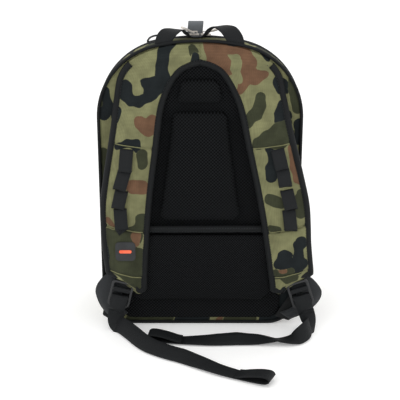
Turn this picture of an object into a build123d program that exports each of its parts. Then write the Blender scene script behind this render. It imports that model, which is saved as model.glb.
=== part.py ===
"""Tackle backpack: a soft daypack with an arched panel opening, a front compartment, a zipped pocket,
a padded back with a trolley sleeve, a one-piece yoke with two shoulder straps, and ladder-lock adjusters.

Millimetres. +Z is up and the origin is on the base. The wearer's side faces -Y and the front pocket +Y.
"""

import os
from math import asin, atan2, cos, degrees, radians, sin, sqrt, tan

from build123d import *

os.makedirs("parts", exist_ok=True)

# ---------------------------------------------------------------- driving sizes of the pack
PACK_WIDTH = 300.0
PACK_HEIGHT = 444.0
REAR_DEPTH = 35.0  # back panel to the main zip
MAIN_DEPTH = 80.0  # main zip to the front zip
FRONT_DEPTH = 45.0  # front zip to the front face
TOP_SLOPE = 0.25  # the top falls this much per mm, from the main zip forwards
FRONT_TAPER = 24.0  # the front face is this much narrower than the back
CROWN_RADIUS = 290.0
SHOULDER_RADIUS = 110.0
BASE_RADIUS = 45.0
WALL = 4.0  # padded cloth wall
SEAM_GAP = 0.3  # between pieces on different bodies

REAR_Y = -(REAR_DEPTH + MAIN_DEPTH + FRONT_DEPTH) / 2
MAIN_SEAM_Y = REAR_Y + REAR_DEPTH
FRONT_SEAM_Y = MAIN_SEAM_Y + MAIN_DEPTH
FRONT_Y = FRONT_SEAM_Y + FRONT_DEPTH
FACE_THICKNESS = 10.0
FACE_ROUND = 8.0
PANEL_THICKNESS = 5.0
SHEET_THICKNESS = 1.8
SHEET_INSET = 14.0
DIVIDER_THICKNESS = 3.0
BOARD_THICKNESS = 3.0

# ---------------------------------------------------------------- zips
ZIP_END_Z = 60.0  # the arched zips stop this far above the base
HINGE_Z = 14.0  # the panels fold down about a line this far above the base, at the front face
TAPE_WIDTH = 4.0
TAPE_THICKNESS = 1.2
COIL_WIDTH = 1.1
COIL_HEIGHT = 2.0
COIL_PROUD = 0.6
COIL_GAP = 1.6  # between the two coils, where the slider's post runs
SLIDER_LENGTH = 15.0
SLIDER_WIDTH = 11.0
SLIDER_PLATE = 1.6
SLIDER_CLEARANCE = 0.4
SLIDER_POST = 1.1
BRIDGE_HEIGHT = 4.2
BRIDGE_WALL = 1.1
BRIDGE_WIDTH = 3.0
PULL_PIN_RADIUS = 0.8
PULL_ARM_GAP = 0.6
PULL_DISC_RADIUS = 6.5
PULL_ARM = 7.5
PULL_REACH = 14.5

# ---------------------------------------------------------------- back of the pack
LINER_INSET = 26.0
LINER_BASE = 12.0
LINER_THICKNESS = 3.0
PIPING_RADIUS = 2.2
PIPING_INSET = 0.5
PAD_THICKNESS = 10.0
PAD_ROUND = 4.0
SLEEVE_SLOT = 6.0  # gap that a trolley handle goes through
SLEEVE_THICKNESS = 6.0
SLEEVE_WELT = 8.0
SLEEVE_MARGIN = 12.0  # from the liner's edge to the side of the sleeve
SLEEVE_HALF = PACK_WIDTH / 2 - LINER_INSET - SLEEVE_MARGIN
SLEEVE_BASE_Z = 42.0
SLEEVE_TOP_Z = 155.0
BINDING_HEIGHT = 11.0
BINDING_THICKNESS = 7.0
YOKE_Z = 372.0 / 444.0 * PACK_HEIGHT  # where the straps leave the yoke
YOKE_THICKNESS = 11.7
YOKE_INSET = 5.5
NECK_HALF = 45.6
NECK_CENTRE_DROP = 114.0  # neck arch centre below the top of the pack
NECK_RISE = 81.0

# ---------------------------------------------------------------- straps, webbing and buckles
STRAP_THICKNESS = 11.5
STRAP_BOW = 14.0  # how far the strap stands off at its middle
WEB_WIDTH = 25.0
WEB_THICKNESS = 1.6
DAISY_WIDTH = 20.0
DAISY_GAP = 3.0
BUCKLE_WIDTH = 34.0
BUCKLE_HEIGHT = 42.0
BUCKLE_THICKNESS = 4.0
BUCKLE_RIM = 3.8
BAR_HEIGHT = 3.6
BAR_THICKNESS = 3.0
LOOP_BAR_V = 7.0  # loop bar above the buckle's centre
GRIP_BAR_V = -6.0
LOOP_CLEARANCE = 0.4
BUCKLE_Z = 60.0
BUCKLE_SETBACK = -2.0
BUCKLE_LIFT = 12.0  # degrees that the buckle's lower end lifts to slacken the web
SIDES = {
    # sign of X, sideways drift of the strap per mm of drop, buckle's X, buckle's tilt in degrees
    "left": (-1, 0.0, 121.0, 14.0),
    "right": (1, 0.085, 153.0, 18.0),
}
ANCHOR_THICKNESS = 3.0
ANCHOR_INSET = 34.0
ANCHOR_X = PACK_WIDTH / 2 - ANCHOR_INSET  # where the adjuster webs meet the bag's bottom corners
BADGE_SIZE = 30.0
BADGE_THICKNESS = 2.5

# ---------------------------------------------------------------- handle, grab tab and pocket
HANDLE_THICKNESS = 2.0
HANDLE_HALF_SPAN = 52.0
HANDLE_RISE = 22.0
HANDLE_ROOT_RISE = 1.0
TAB_X = -6.0
TAB_DEPTH = 18.0
TAB_HEIGHT = 22.0
TAB_LIFT = 0.4
POCKET_HALF = 112.0
POCKET_BASE_Z = 42.0
POCKET_TOP_Z = 236.0
POCKET_DEPTH = 24.0
POCKET_WALL = 3.0
POCKET_ROUND = 22.0
POCKET_ZIP_Z = 208.0
POCKET_SLIDER_X = -88.0

# Each arched zip has a rear and a front edge, where its tapes meet the wall.
ZIP_HALF_OPENING = COIL_GAP / 2 + COIL_WIDTH + TAPE_WIDTH
MAIN_REAR_EDGE = MAIN_SEAM_Y - ZIP_HALF_OPENING
MAIN_FRONT_EDGE = MAIN_SEAM_Y + ZIP_HALF_OPENING
FRONT_REAR_EDGE = FRONT_SEAM_Y - ZIP_HALF_OPENING
FRONT_FRONT_EDGE = FRONT_SEAM_Y + ZIP_HALF_OPENING

REAR_SKIN_Y = REAR_Y - LINER_THICKNESS  # face of the black liner that the pads lie on
STRAP_BACK_Y = REAR_SKIN_Y - STRAP_BOW
STRAP_FRONT_Y = STRAP_BACK_Y - STRAP_THICKNESS
BUCKLE_Y = STRAP_BACK_Y - STRAP_THICKNESS / 2 + BUCKLE_SETBACK
TAB_FACE_Y = REAR_Y - 2 * PIPING_RADIUS - 0.2 - ANCHOR_THICKNESS  # front of the anchor tabs
SLACK_Y = BUCKLE_Y + BUCKLE_THICKNESS / 2 + LOOP_CLEARANCE + WEB_THICKNESS + SEAM_GAP
SLACK_YAW = asin((TAB_FACE_Y - SLACK_Y) / WEB_WIDTH)
MAX_SIZE = 2000.0  # for cutting tools that pass right through


def save(piece, name):
    """Labels a finished piece and writes its STEP file."""
    piece.part.label = name
    export_step(piece.part, f"parts/{name}.step")


def sloped_run(y):
    """How much sloped wall lies behind depth y. The bands under the two arched zips are level."""
    between_zips = min(max(0.0, y - MAIN_FRONT_EDGE), FRONT_REAR_EDGE - MAIN_FRONT_EDGE)
    return between_zips + max(0.0, y - FRONT_FRONT_EDGE)


def width_at(y):
    """Width of the pack at depth y: constant to the main zip, then tapering forwards."""
    return PACK_WIDTH - FRONT_TAPER * sloped_run(y) / sloped_run(FRONT_Y)


def top_at(y):
    """Height of the pack's crown at depth y."""
    return PACK_HEIGHT - TOP_SLOPE * sloped_run(y)


def crown_centre_z(y):
    """Height of the centre of the crown's arc, which the sliders turn about."""
    return top_at(y) - CROWN_RADIUS


def crown_z(x, y):
    """Height of the crown at x, within its arc."""
    return crown_centre_z(y) + sqrt(CROWN_RADIUS**2 - x**2)


def outline(y, inset=0.0, base=None):
    """The pack's arched outline at depth y, inset all round, as a sketch on the XZ plane."""
    base = inset if base is None else base
    half = width_at(y) / 2
    shoulder_x = half - SHOULDER_RADIUS
    centre_z = crown_centre_z(y)
    shoulder_z = centre_z + sqrt((CROWN_RADIUS - SHOULDER_RADIUS) ** 2 - shoulder_x**2)
    lean = atan2(shoulder_x, shoulder_z - centre_z)
    crown_x = (CROWN_RADIUS - inset) * sin(lean)
    crown_end_z = centre_z + (CROWN_RADIUS - inset) * cos(lean)
    middle = (radians(90) - lean) / 2
    shoulder_r = SHOULDER_RADIUS - inset
    bend_x = shoulder_x + shoulder_r * cos(middle)
    bend_z = shoulder_z + shoulder_r * sin(middle)
    base_r = BASE_RADIUS - inset
    foot_x = half - BASE_RADIUS
    foot_z = base + base_r
    reach = base_r * cos(radians(45))
    with BuildSketch(Plane.XZ.offset(-y)) as face:
        with BuildLine():
            Line((-foot_x, base), (foot_x, base))
            ThreePointArc((foot_x, base), (foot_x + reach, foot_z - reach), (half - inset, foot_z))
            Line((half - inset, foot_z), (half - inset, shoulder_z))
            ThreePointArc((half - inset, shoulder_z), (bend_x, bend_z), (crown_x, crown_end_z))
            ThreePointArc((crown_x, crown_end_z), (0, top_at(y) - inset), (-crown_x, crown_end_z))
            ThreePointArc((-crown_x, crown_end_z), (-bend_x, bend_z), (inset - half, shoulder_z))
            Line((inset - half, shoulder_z), (inset - half, foot_z))
            ThreePointArc((inset - half, foot_z), (-foot_x - reach, foot_z - reach), (-foot_x, base))
        make_face()
    return face.sketch


def body_between(y0, y1, inset=0.0, mode=Mode.ADD):
    """Adds or cuts the solid between two depths of the pack's outline."""
    if sloped_run(y0) == sloped_run(y1):
        extrude(outline(y1, inset), amount=y1 - y0, mode=mode)
    else:
        edges = (MAIN_FRONT_EDGE, FRONT_REAR_EDGE, FRONT_FRONT_EDGE)
        depths = [y0] + [y for y in edges if y0 < y < y1] + [y1]
        loft(sections=[outline(y, inset).face() for y in depths], ruled=True, mode=mode)


def ring_between(y0, y1, outer, inner):
    """A closed band of the pack's side wall between two depths and two insets."""
    body_between(y0, y1, outer)
    body_between(y0, y1, inner, mode=Mode.SUBTRACT)


def band_piece(y0, y1, outer, inner, side):
    """A band of side wall, cut level with the ends of the arched zips: side 1 is above them, -1 below."""
    with BuildPart() as band:
        ring_between(y0, y1, outer, inner)
        with Locations((0, 0, ZIP_END_Z + side * MAX_SIZE / 2)):
            Box(MAX_SIZE, MAX_SIZE, MAX_SIZE, mode=Mode.INTERSECT)
    return band.part


def fold_plane(rise):
    """The crease of the opening panels: from the ends of the main zip down to the hinge at the front."""
    slope = Vector(0, MAIN_SEAM_Y - FRONT_Y, ZIP_END_Z - HINGE_Z).normalized()
    crease = Plane(origin=(0, FRONT_Y, HINGE_Z), x_dir=(1, 0, 0), z_dir=slope.cross(Vector(1, 0, 0)))
    return crease.offset(rise)


# ================================================================ shells of the pack
with BuildPart() as back_panel:
    body_between(REAR_Y, REAR_Y + PANEL_THICKNESS)
save(back_panel, "back_panel")

with BuildPart() as frame_sheet:
    extrude(
        outline(REAR_Y + PANEL_THICKNESS + SHEET_THICKNESS, SHEET_INSET),
        amount=SHEET_THICKNESS,
    )
save(frame_sheet, "frame_sheet")

with BuildPart() as rear_gusset:
    ring_between(REAR_Y + PANEL_THICKNESS, MAIN_REAR_EDGE, 0, WALL)
    add(band_piece(MAIN_REAR_EDGE, MAIN_SEAM_Y, 0, WALL, -1))
save(rear_gusset, "rear_gusset")

with BuildPart() as base_tub:
    body_between(MAIN_SEAM_Y, FRONT_Y)
    fillet(base_tub.faces().sort_by(Axis.Y)[-1].edges(), radius=FACE_ROUND)
    body_between(MAIN_SEAM_Y, FRONT_Y - WALL, WALL, mode=Mode.SUBTRACT)
    split(bisect_by=fold_plane(-SEAM_GAP / 2), keep=Keep.BOTTOM)
save(base_tub, "base_tub")

with BuildPart() as base_board:
    board_rear = REAR_Y + PANEL_THICKNESS + SHEET_THICKNESS + 4.0
    board_front = FRONT_REAR_EDGE - 12.0
    with Locations((0, (board_rear + board_front) / 2, WALL + 0.2 + BOARD_THICKNESS / 2)):
        Box(PACK_WIDTH - 2 * BASE_RADIUS - 6.0, board_front - board_rear, BOARD_THICKNESS)
    fillet(base_board.edges().filter_by(Axis.Z), radius=10.0)
save(base_board, "base_board")

with BuildPart() as main_gusset:
    ring_between(MAIN_FRONT_EDGE, FRONT_REAR_EDGE, 0, WALL)
    add(band_piece(FRONT_REAR_EDGE, FRONT_SEAM_Y - SEAM_GAP / 2, 0, WALL, -1))
    split(bisect_by=fold_plane(SEAM_GAP / 2), keep=Keep.TOP)
save(main_gusset, "main_gusset")

DIVIDER_Y = FRONT_REAR_EDGE - DIVIDER_THICKNESS
with BuildPart() as divider:
    body_between(DIVIDER_Y, FRONT_REAR_EDGE, WALL + 0.2)
    split(bisect_by=fold_plane(SEAM_GAP / 2), keep=Keep.TOP)
save(divider, "divider")

with BuildPart() as front_gusset:
    ring_between(FRONT_FRONT_EDGE, FRONT_Y - FACE_THICKNESS, 0, WALL)
    add(band_piece(FRONT_SEAM_Y + SEAM_GAP / 2, FRONT_FRONT_EDGE, 0, WALL, -1))
    split(bisect_by=fold_plane(SEAM_GAP / 2), keep=Keep.TOP)
save(front_gusset, "front_gusset")

with BuildPart() as front_face:
    body_between(FRONT_Y - FACE_THICKNESS, FRONT_Y)
    fillet(front_face.faces().sort_by(Axis.Y)[-1].edges(), radius=FACE_ROUND)
    split(bisect_by=fold_plane(SEAM_GAP / 2), keep=Keep.TOP)
save(front_face, "front_face")


# ================================================================ arched zips
def arched_zip(name, seam_y):
    """The two halves of a zip that goes over the top of the pack: a tape with its coil along one edge."""
    for side, sign in (("rear", -1), ("front", 1)):
        coil_near = seam_y + sign * COIL_GAP / 2
        coil_far = coil_near + sign * COIL_WIDTH
        tape_far = coil_far + sign * TAPE_WIDTH
        coil_span = sorted((coil_near, coil_far))
        tape_span = sorted((coil_far, tape_far))
        with BuildPart() as half:
            add(band_piece(*coil_span, -COIL_PROUD, COIL_HEIGHT - COIL_PROUD, 1))
            add(band_piece(*tape_span, 0, TAPE_THICKNESS, 1))
        save(half, f"{name}_zip_{side}_half")


arched_zip("main", MAIN_SEAM_Y)
arched_zip("front", FRONT_SEAM_Y)

SLIDER_TOP_GAP = COIL_PROUD + SLIDER_CLEARANCE  # slider's outer plate above the wall
SLIDER_BOTTOM_GAP = COIL_HEIGHT - COIL_PROUD + SLIDER_CLEARANCE  # its inner plate below the wall
PIN_HEIGHT = SLIDER_TOP_GAP + SLIDER_PLATE + BRIDGE_HEIGHT - BRIDGE_WALL - PULL_PIN_RADIUS - 0.3


def build_slider():
    """Zip slider in the open builder, on a flat zip along X whose wall's outer face is at Z 0."""
    with Locations((0, 0, SLIDER_TOP_GAP + SLIDER_PLATE / 2)):
        Box(SLIDER_LENGTH, SLIDER_WIDTH, SLIDER_PLATE)
    with Locations((0, 0, -SLIDER_BOTTOM_GAP - SLIDER_PLATE / 2)):
        Box(SLIDER_LENGTH, SLIDER_WIDTH, SLIDER_PLATE)
    post_height = SLIDER_TOP_GAP + SLIDER_BOTTOM_GAP + 2 * SLIDER_PLATE
    post_z = (SLIDER_TOP_GAP - SLIDER_BOTTOM_GAP) / 2
    with Locations((0, 0, post_z)):
        Box(SLIDER_LENGTH / 3, SLIDER_POST, post_height)
    base_z = SLIDER_TOP_GAP + SLIDER_PLATE
    bridge_length = SLIDER_LENGTH * 0.66
    window_length = bridge_length - 2 * BRIDGE_WALL
    window_height = BRIDGE_HEIGHT - BRIDGE_WALL
    with Locations((0, 0, base_z + BRIDGE_HEIGHT / 2)):
        Box(bridge_length, BRIDGE_WIDTH, BRIDGE_HEIGHT)
    with Locations((0, 0, base_z + window_height / 2)):
        Box(window_length, BRIDGE_WIDTH, window_height, mode=Mode.SUBTRACT)


def build_pull():
    """Round pull tab in the open builder, standing up from its pin at the origin. The pin lies along Y."""
    arm_y = BRIDGE_WIDTH / 2 + PULL_ARM_GAP
    arm_width = 1.4
    with Locations(Rotation(90, 0, 0)):
        Cylinder(PULL_PIN_RADIUS, 2 * (arm_y + arm_width))
    for sign in (-1, 1):
        with Locations((0, sign * (arm_y + arm_width / 2), PULL_ARM / 2)):
            Box(2 * PULL_PIN_RADIUS, arm_width, PULL_ARM)
    with Locations((0, 0, PULL_ARM)):
        Box(2.0, 2 * (arm_y + arm_width), 2.0)
    with Locations(Location((0, 0, PULL_REACH), (0, 90, 0))):
        Cylinder(PULL_DISC_RADIUS, 2.0)
        Cylinder(PULL_DISC_RADIUS * 0.35, 2.0, mode=Mode.SUBTRACT)


def build_cord_pull():
    """Cord loop pull in the open builder, lying out along -X from its pin at the origin."""
    with Locations(Rotation(90, 0, 0)):
        Cylinder(PULL_PIN_RADIUS, 2 * (BRIDGE_WIDTH / 2 + PULL_ARM_GAP + 1.4))
    for sign in (-1, 1):
        with Locations((-3.0, sign * (BRIDGE_WIDTH / 2 + PULL_ARM_GAP + 0.7), 2.0)):
            Box(6.0, 1.4, 5.6)
    with Locations((-7.0, 0, 3.6)):
        Box(3.0, 2 * (BRIDGE_WIDTH / 2 + PULL_ARM_GAP + 1.4), 6.0)
    with BuildLine(Plane.XZ) as loop:
        FilletPolyline(
            (-7.5, 5.2), (-14.0, 10.5), (-26.0, 9.5), (-29.0, 3.4), (-7.5, 2.0), radius=2.5
        )
    with BuildSketch(Plane(origin=loop.line @ 0, z_dir=loop.line % 0)) as cord_section:
        Circle(1.2)
    sweep(cord_section.sketch, path=loop.line)


def on_crown(y, turn):
    """Placement on the crown's arc at depth y, turned by degrees about the arc's centre, + towards +X."""
    angle = radians(turn)
    place = (CROWN_RADIUS * sin(angle), y, crown_centre_z(y) + CROWN_RADIUS * cos(angle))
    return Location(place, (0, turn, 0))


# name, depth of the zip, place along the crown in degrees, lean of the pull in degrees, pull shape
MAIN_SLIDER_TURN = degrees((SLIDER_LENGTH / 2 + 1.0) / CROWN_RADIUS)
FRONT_SLIDER_TURN = -8.5
CROWN_SLIDERS = (
    ("left_main", MAIN_SEAM_Y, -MAIN_SLIDER_TURN, -66.0, build_pull),
    ("right_main", MAIN_SEAM_Y, MAIN_SLIDER_TURN, 72.0, build_pull),
    ("front", FRONT_SEAM_Y, FRONT_SLIDER_TURN, 0.0, build_cord_pull),
)
for name, seam_y, turn, lean, build_puller in CROWN_SLIDERS:
    place = on_crown(seam_y, turn)
    with BuildPart() as slider_blank:
        build_slider()
    with BuildPart() as slider:
        add(slider_blank.part.moved(place))
    save(slider, f"{name}_slider")
    with BuildPart() as pull_blank:
        build_puller()
    pin_place = place * Location((0, 0, PIN_HEIGHT), (0, lean, 0))
    with BuildPart() as pull:
        add(pull_blank.part.moved(pin_place))
    save(pull, f"{name}_pull")
    pin = pin_place.position
    print(f"{name} pull pin at {pin.X:.2f} {pin.Y:.2f} {pin.Z:.2f}, arc centre z {crown_centre_z(seam_y):.2f}")

# ================================================================ back liner, pads, sleeve and piping
with BuildPart() as back_liner:
    extrude(outline(REAR_Y, LINER_INSET, LINER_BASE), amount=LINER_THICKNESS)
save(back_liner, "back_liner")


def build_back_pad(top_half, top_z, low_half, low_z, corner):
    """Foam pad in the open builder: a tapered plate on the liner, with rounded corners and edges."""
    with BuildSketch(Plane.XZ.offset(-REAR_SKIN_Y)) as shape:
        Polygon(
            (-low_half, low_z), (low_half, low_z), (top_half, top_z), (-top_half, top_z), align=None
        )
        fillet(shape.vertices(), radius=corner)
    extrude(shape.sketch, amount=PAD_THICKNESS)


UPPER_PAD_TOP = PACK_HEIGHT - 56.0
UPPER_PAD_BASE = UPPER_PAD_TOP - 35.0
MIDDLE_PAD_TOP = UPPER_PAD_BASE - 10.0
MIDDLE_PAD_BASE = SLEEVE_TOP_Z + BINDING_HEIGHT + 5.0
BACK_PADS = {
    "upper_back_pad": (27.0, UPPER_PAD_TOP, 35.0, UPPER_PAD_BASE, 7.0),
    "middle_back_pad": (40.0, MIDDLE_PAD_TOP, 63.0, MIDDLE_PAD_BASE, 12.0),
}
for name, sizes in BACK_PADS.items():
    with BuildPart() as back_pad:
        build_back_pad(*sizes)
        fillet(back_pad.faces().sort_by(Axis.Y)[0].edges(), radius=PAD_ROUND)
    save(back_pad, name)

SLEEVE_Y = REAR_SKIN_Y - SLEEVE_SLOT
with BuildPart() as trolley_sleeve:
    with BuildSketch(Plane.XZ.offset(-SLEEVE_Y)) as plate:
        with Locations((0, (SLEEVE_BASE_Z + SLEEVE_TOP_Z) / 2)):
            Rectangle(2 * SLEEVE_HALF, SLEEVE_TOP_Z - SLEEVE_BASE_Z)
        fillet(plate.vertices().group_by(Axis.Y)[0], radius=24.0)
    extrude(amount=SLEEVE_THICKNESS)
    with BuildSketch(Plane.XZ.offset(-REAR_SKIN_Y)):
        welt_top = SLEEVE_TOP_Z
        welt_base = SLEEVE_BASE_Z + 26.0
        for sign in (-1, 1):
            with Locations((sign * (SLEEVE_HALF - SLEEVE_WELT / 2), (welt_top + welt_base) / 2)):
                Rectangle(SLEEVE_WELT, welt_top - welt_base)
    extrude(amount=SLEEVE_SLOT)
save(trolley_sleeve, "trolley_sleeve")

with BuildPart() as sleeve_binding:
    binding_y = SLEEVE_Y - SLEEVE_THICKNESS / 2
    with Locations((0, binding_y, SLEEVE_TOP_Z + BINDING_HEIGHT / 2)):
        Box(2 * SLEEVE_HALF, BINDING_THICKNESS, BINDING_HEIGHT)
    fillet(sleeve_binding.edges().filter_by(Axis.X).group_by(Axis.Z)[-1], radius=2.5)
save(sleeve_binding, "sleeve_binding")

with BuildPart() as rear_piping:
    path = outline(REAR_Y - PIPING_RADIUS, PIPING_RADIUS + PIPING_INSET).wire()
    start = path @ 0
    with BuildSketch(Plane(origin=start, z_dir=path % 0)):
        Circle(PIPING_RADIUS)
    sweep(path=path)
save(rear_piping, "rear_piping")


# ================================================================ yoke and shoulder straps
def neck_arch(y):
    """The opening of the yoke round the neck, as a sketch at depth y."""
    with BuildSketch(Plane.XZ.offset(-y)) as arch:
        with Locations((0, PACK_HEIGHT - NECK_CENTRE_DROP)):
            Ellipse(NECK_HALF, NECK_RISE)
    return arch.sketch


YOKE_BACK_Y = REAR_SKIN_Y - SEAM_GAP
with BuildPart() as yoke:
    extrude(outline(YOKE_BACK_Y, YOKE_INSET), amount=YOKE_THICKNESS)
    extrude(neck_arch(YOKE_BACK_Y), amount=YOKE_THICKNESS, mode=Mode.SUBTRACT)
    with Locations((0, 0, YOKE_Z - MAX_SIZE / 2)):
        Box(MAX_SIZE, MAX_SIZE, MAX_SIZE, mode=Mode.SUBTRACT)
    fillet(yoke.faces().sort_by(Axis.Y)[0].edges().filter_by(Axis.X, reverse=True), radius=3.0)
save(yoke, "yoke")

# Edges of a strap as (distance from the middle of the pack, share of the way up from the end to the yoke).
neck_share = sqrt(1 - ((YOKE_Z - PACK_HEIGHT + NECK_CENTRE_DROP) / NECK_RISE) ** 2)
STRAP_END_Z = 58.0
STRAP_INNER = ((NECK_HALF * neck_share, 1.0), (51.0, 0.91), (61.0, 0.76), (70.0, 0.55), (76.0, 0.34), (80.0, 0.10))
STRAP_OUTER = ((125.0, 1.0), (130.0, 0.89), (137.0, 0.76), (145.0, 0.53), (147.0, 0.31), (143.0, 0.105))
STRAP_TOE = (97.0, 0.0)


def strap_point(side, point):
    """X and Z of a point on a strap's edge, with that side's drift outwards."""
    sign, drift, _, _ = SIDES[side]
    z = STRAP_END_Z + point[1] * (YOKE_Z - STRAP_END_Z)
    return (sign * (point[0] + drift * (YOKE_Z - z)), z)


def strap_sketch(side, y):
    """The strap's outline as a sketch at depth y."""
    inner = [strap_point(side, p) for p in STRAP_INNER]
    outer = [strap_point(side, p) for p in STRAP_OUTER]
    toe = strap_point(side, STRAP_TOE)
    with BuildSketch(Plane.XZ.offset(-y)) as shape:
        with BuildLine():
            Spline(*inner)
            Line(inner[-1], toe)
            Line(toe, outer[-1])
            Spline(*outer)
            Line(outer[0], inner[0])
        make_face()
        low = shape.vertices().group_by(Axis.Y)[:3]
        fillet([v for group in low for v in group], radius=7.0)
    return shape.sketch


STRAP_TOP_Z = YOKE_Z - SEAM_GAP
STRAP_ROOT_Y = YOKE_BACK_Y  # back face of the strap at the yoke
BEND_LOW_Z = YOKE_Z - 66.0  # below here the strap hangs at its full stand-off
with BuildSketch(Plane.YZ.offset(-MAX_SIZE / 2)) as strap_profile:
    Polygon(
        (STRAP_ROOT_Y, STRAP_TOP_Z),
        (STRAP_BACK_Y, BEND_LOW_Z),
        (STRAP_BACK_Y, 0),
        (STRAP_FRONT_Y, 0),
        (STRAP_FRONT_Y, BEND_LOW_Z),
        (STRAP_ROOT_Y - STRAP_THICKNESS, STRAP_TOP_Z),
        align=None,
    )
    fillet(strap_profile.vertices().group_by(Axis.Y)[1], radius=60.0)

DAISY_SHARES = (0.76, 0.55, 0.45, 0.33)  # where the daisy chain is sewn down
LOWER_PANEL_SHARES = (0.335, 0.13)
LOWER_PANEL_THICKNESS = 1.2


def strap_middle(side, share):
    """X and Z of the middle of a strap at a share of its height, between its drawn edges."""
    def edge(points):
        spans = zip(points, points[1:])
        (x0, s0), (x1, s1) = next(pair for pair in spans if pair[0][1] >= share >= pair[1][1])
        return x0 + (x1 - x0) * (s0 - share) / (s0 - s1)

    return strap_point(side, ((edge(STRAP_INNER) + edge(STRAP_OUTER)) / 2, share))


def buckle_plane(side):
    """The buckle's own plane: x across, y up the strap, z away from the pack."""
    sign, _, buckle_x, tilt = SIDES[side]
    lean = radians(sign * tilt)
    return Plane(
        origin=(sign * buckle_x, BUCKLE_Y, BUCKLE_Z),
        x_dir=(cos(lean), 0, sin(lean)),
        z_dir=(0, -1, 0),
    )


def profile_plane(side):
    """Plane across the buckle for strap profiles: x up the strap, y away from the pack."""
    across = buckle_plane(side)
    start = across.from_local_coords((-WEB_WIDTH / 2, 0, 0))
    return Plane(origin=start, x_dir=across.y_dir, z_dir=across.x_dir)


HALF_BAR = BAR_THICKNESS / 2
LOOP_HALF = HALF_BAR + LOOP_CLEARANCE + WEB_THICKNESS  # outside of the web round the loop bar
RIM_TOP = BUCKLE_HEIGHT / 2
RIM_SWING = (RIM_TOP - LOOP_BAR_V) * sin(radians(BUCKLE_LIFT))  # how far the upper rim tips back
PAD_WEB_W = -(BUCKLE_THICKNESS / 2 + RIM_SWING + LOOP_CLEARANCE + WEB_THICKNESS / 2)
WRAP_BACK_W = -(BUCKLE_THICKNESS / 2 + LOOP_CLEARANCE + WEB_THICKNESS / 2)
WRAP_END_V = -RIM_TOP - 3.0
BITE_GAP = 1.2


def buckle_swing(side):
    """The space the buckle needs below the end of the strap pad."""
    with BuildPart() as space:
        with BuildSketch(buckle_plane(side)) as bite:
            with Locations((0, RIM_TOP + BITE_GAP - MAX_SIZE / 4)):
                Rectangle(BUCKLE_WIDTH + 2 * BITE_GAP, MAX_SIZE / 2)
        extrude(bite.sketch, amount=60.0, both=True)
    return space.part


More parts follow.
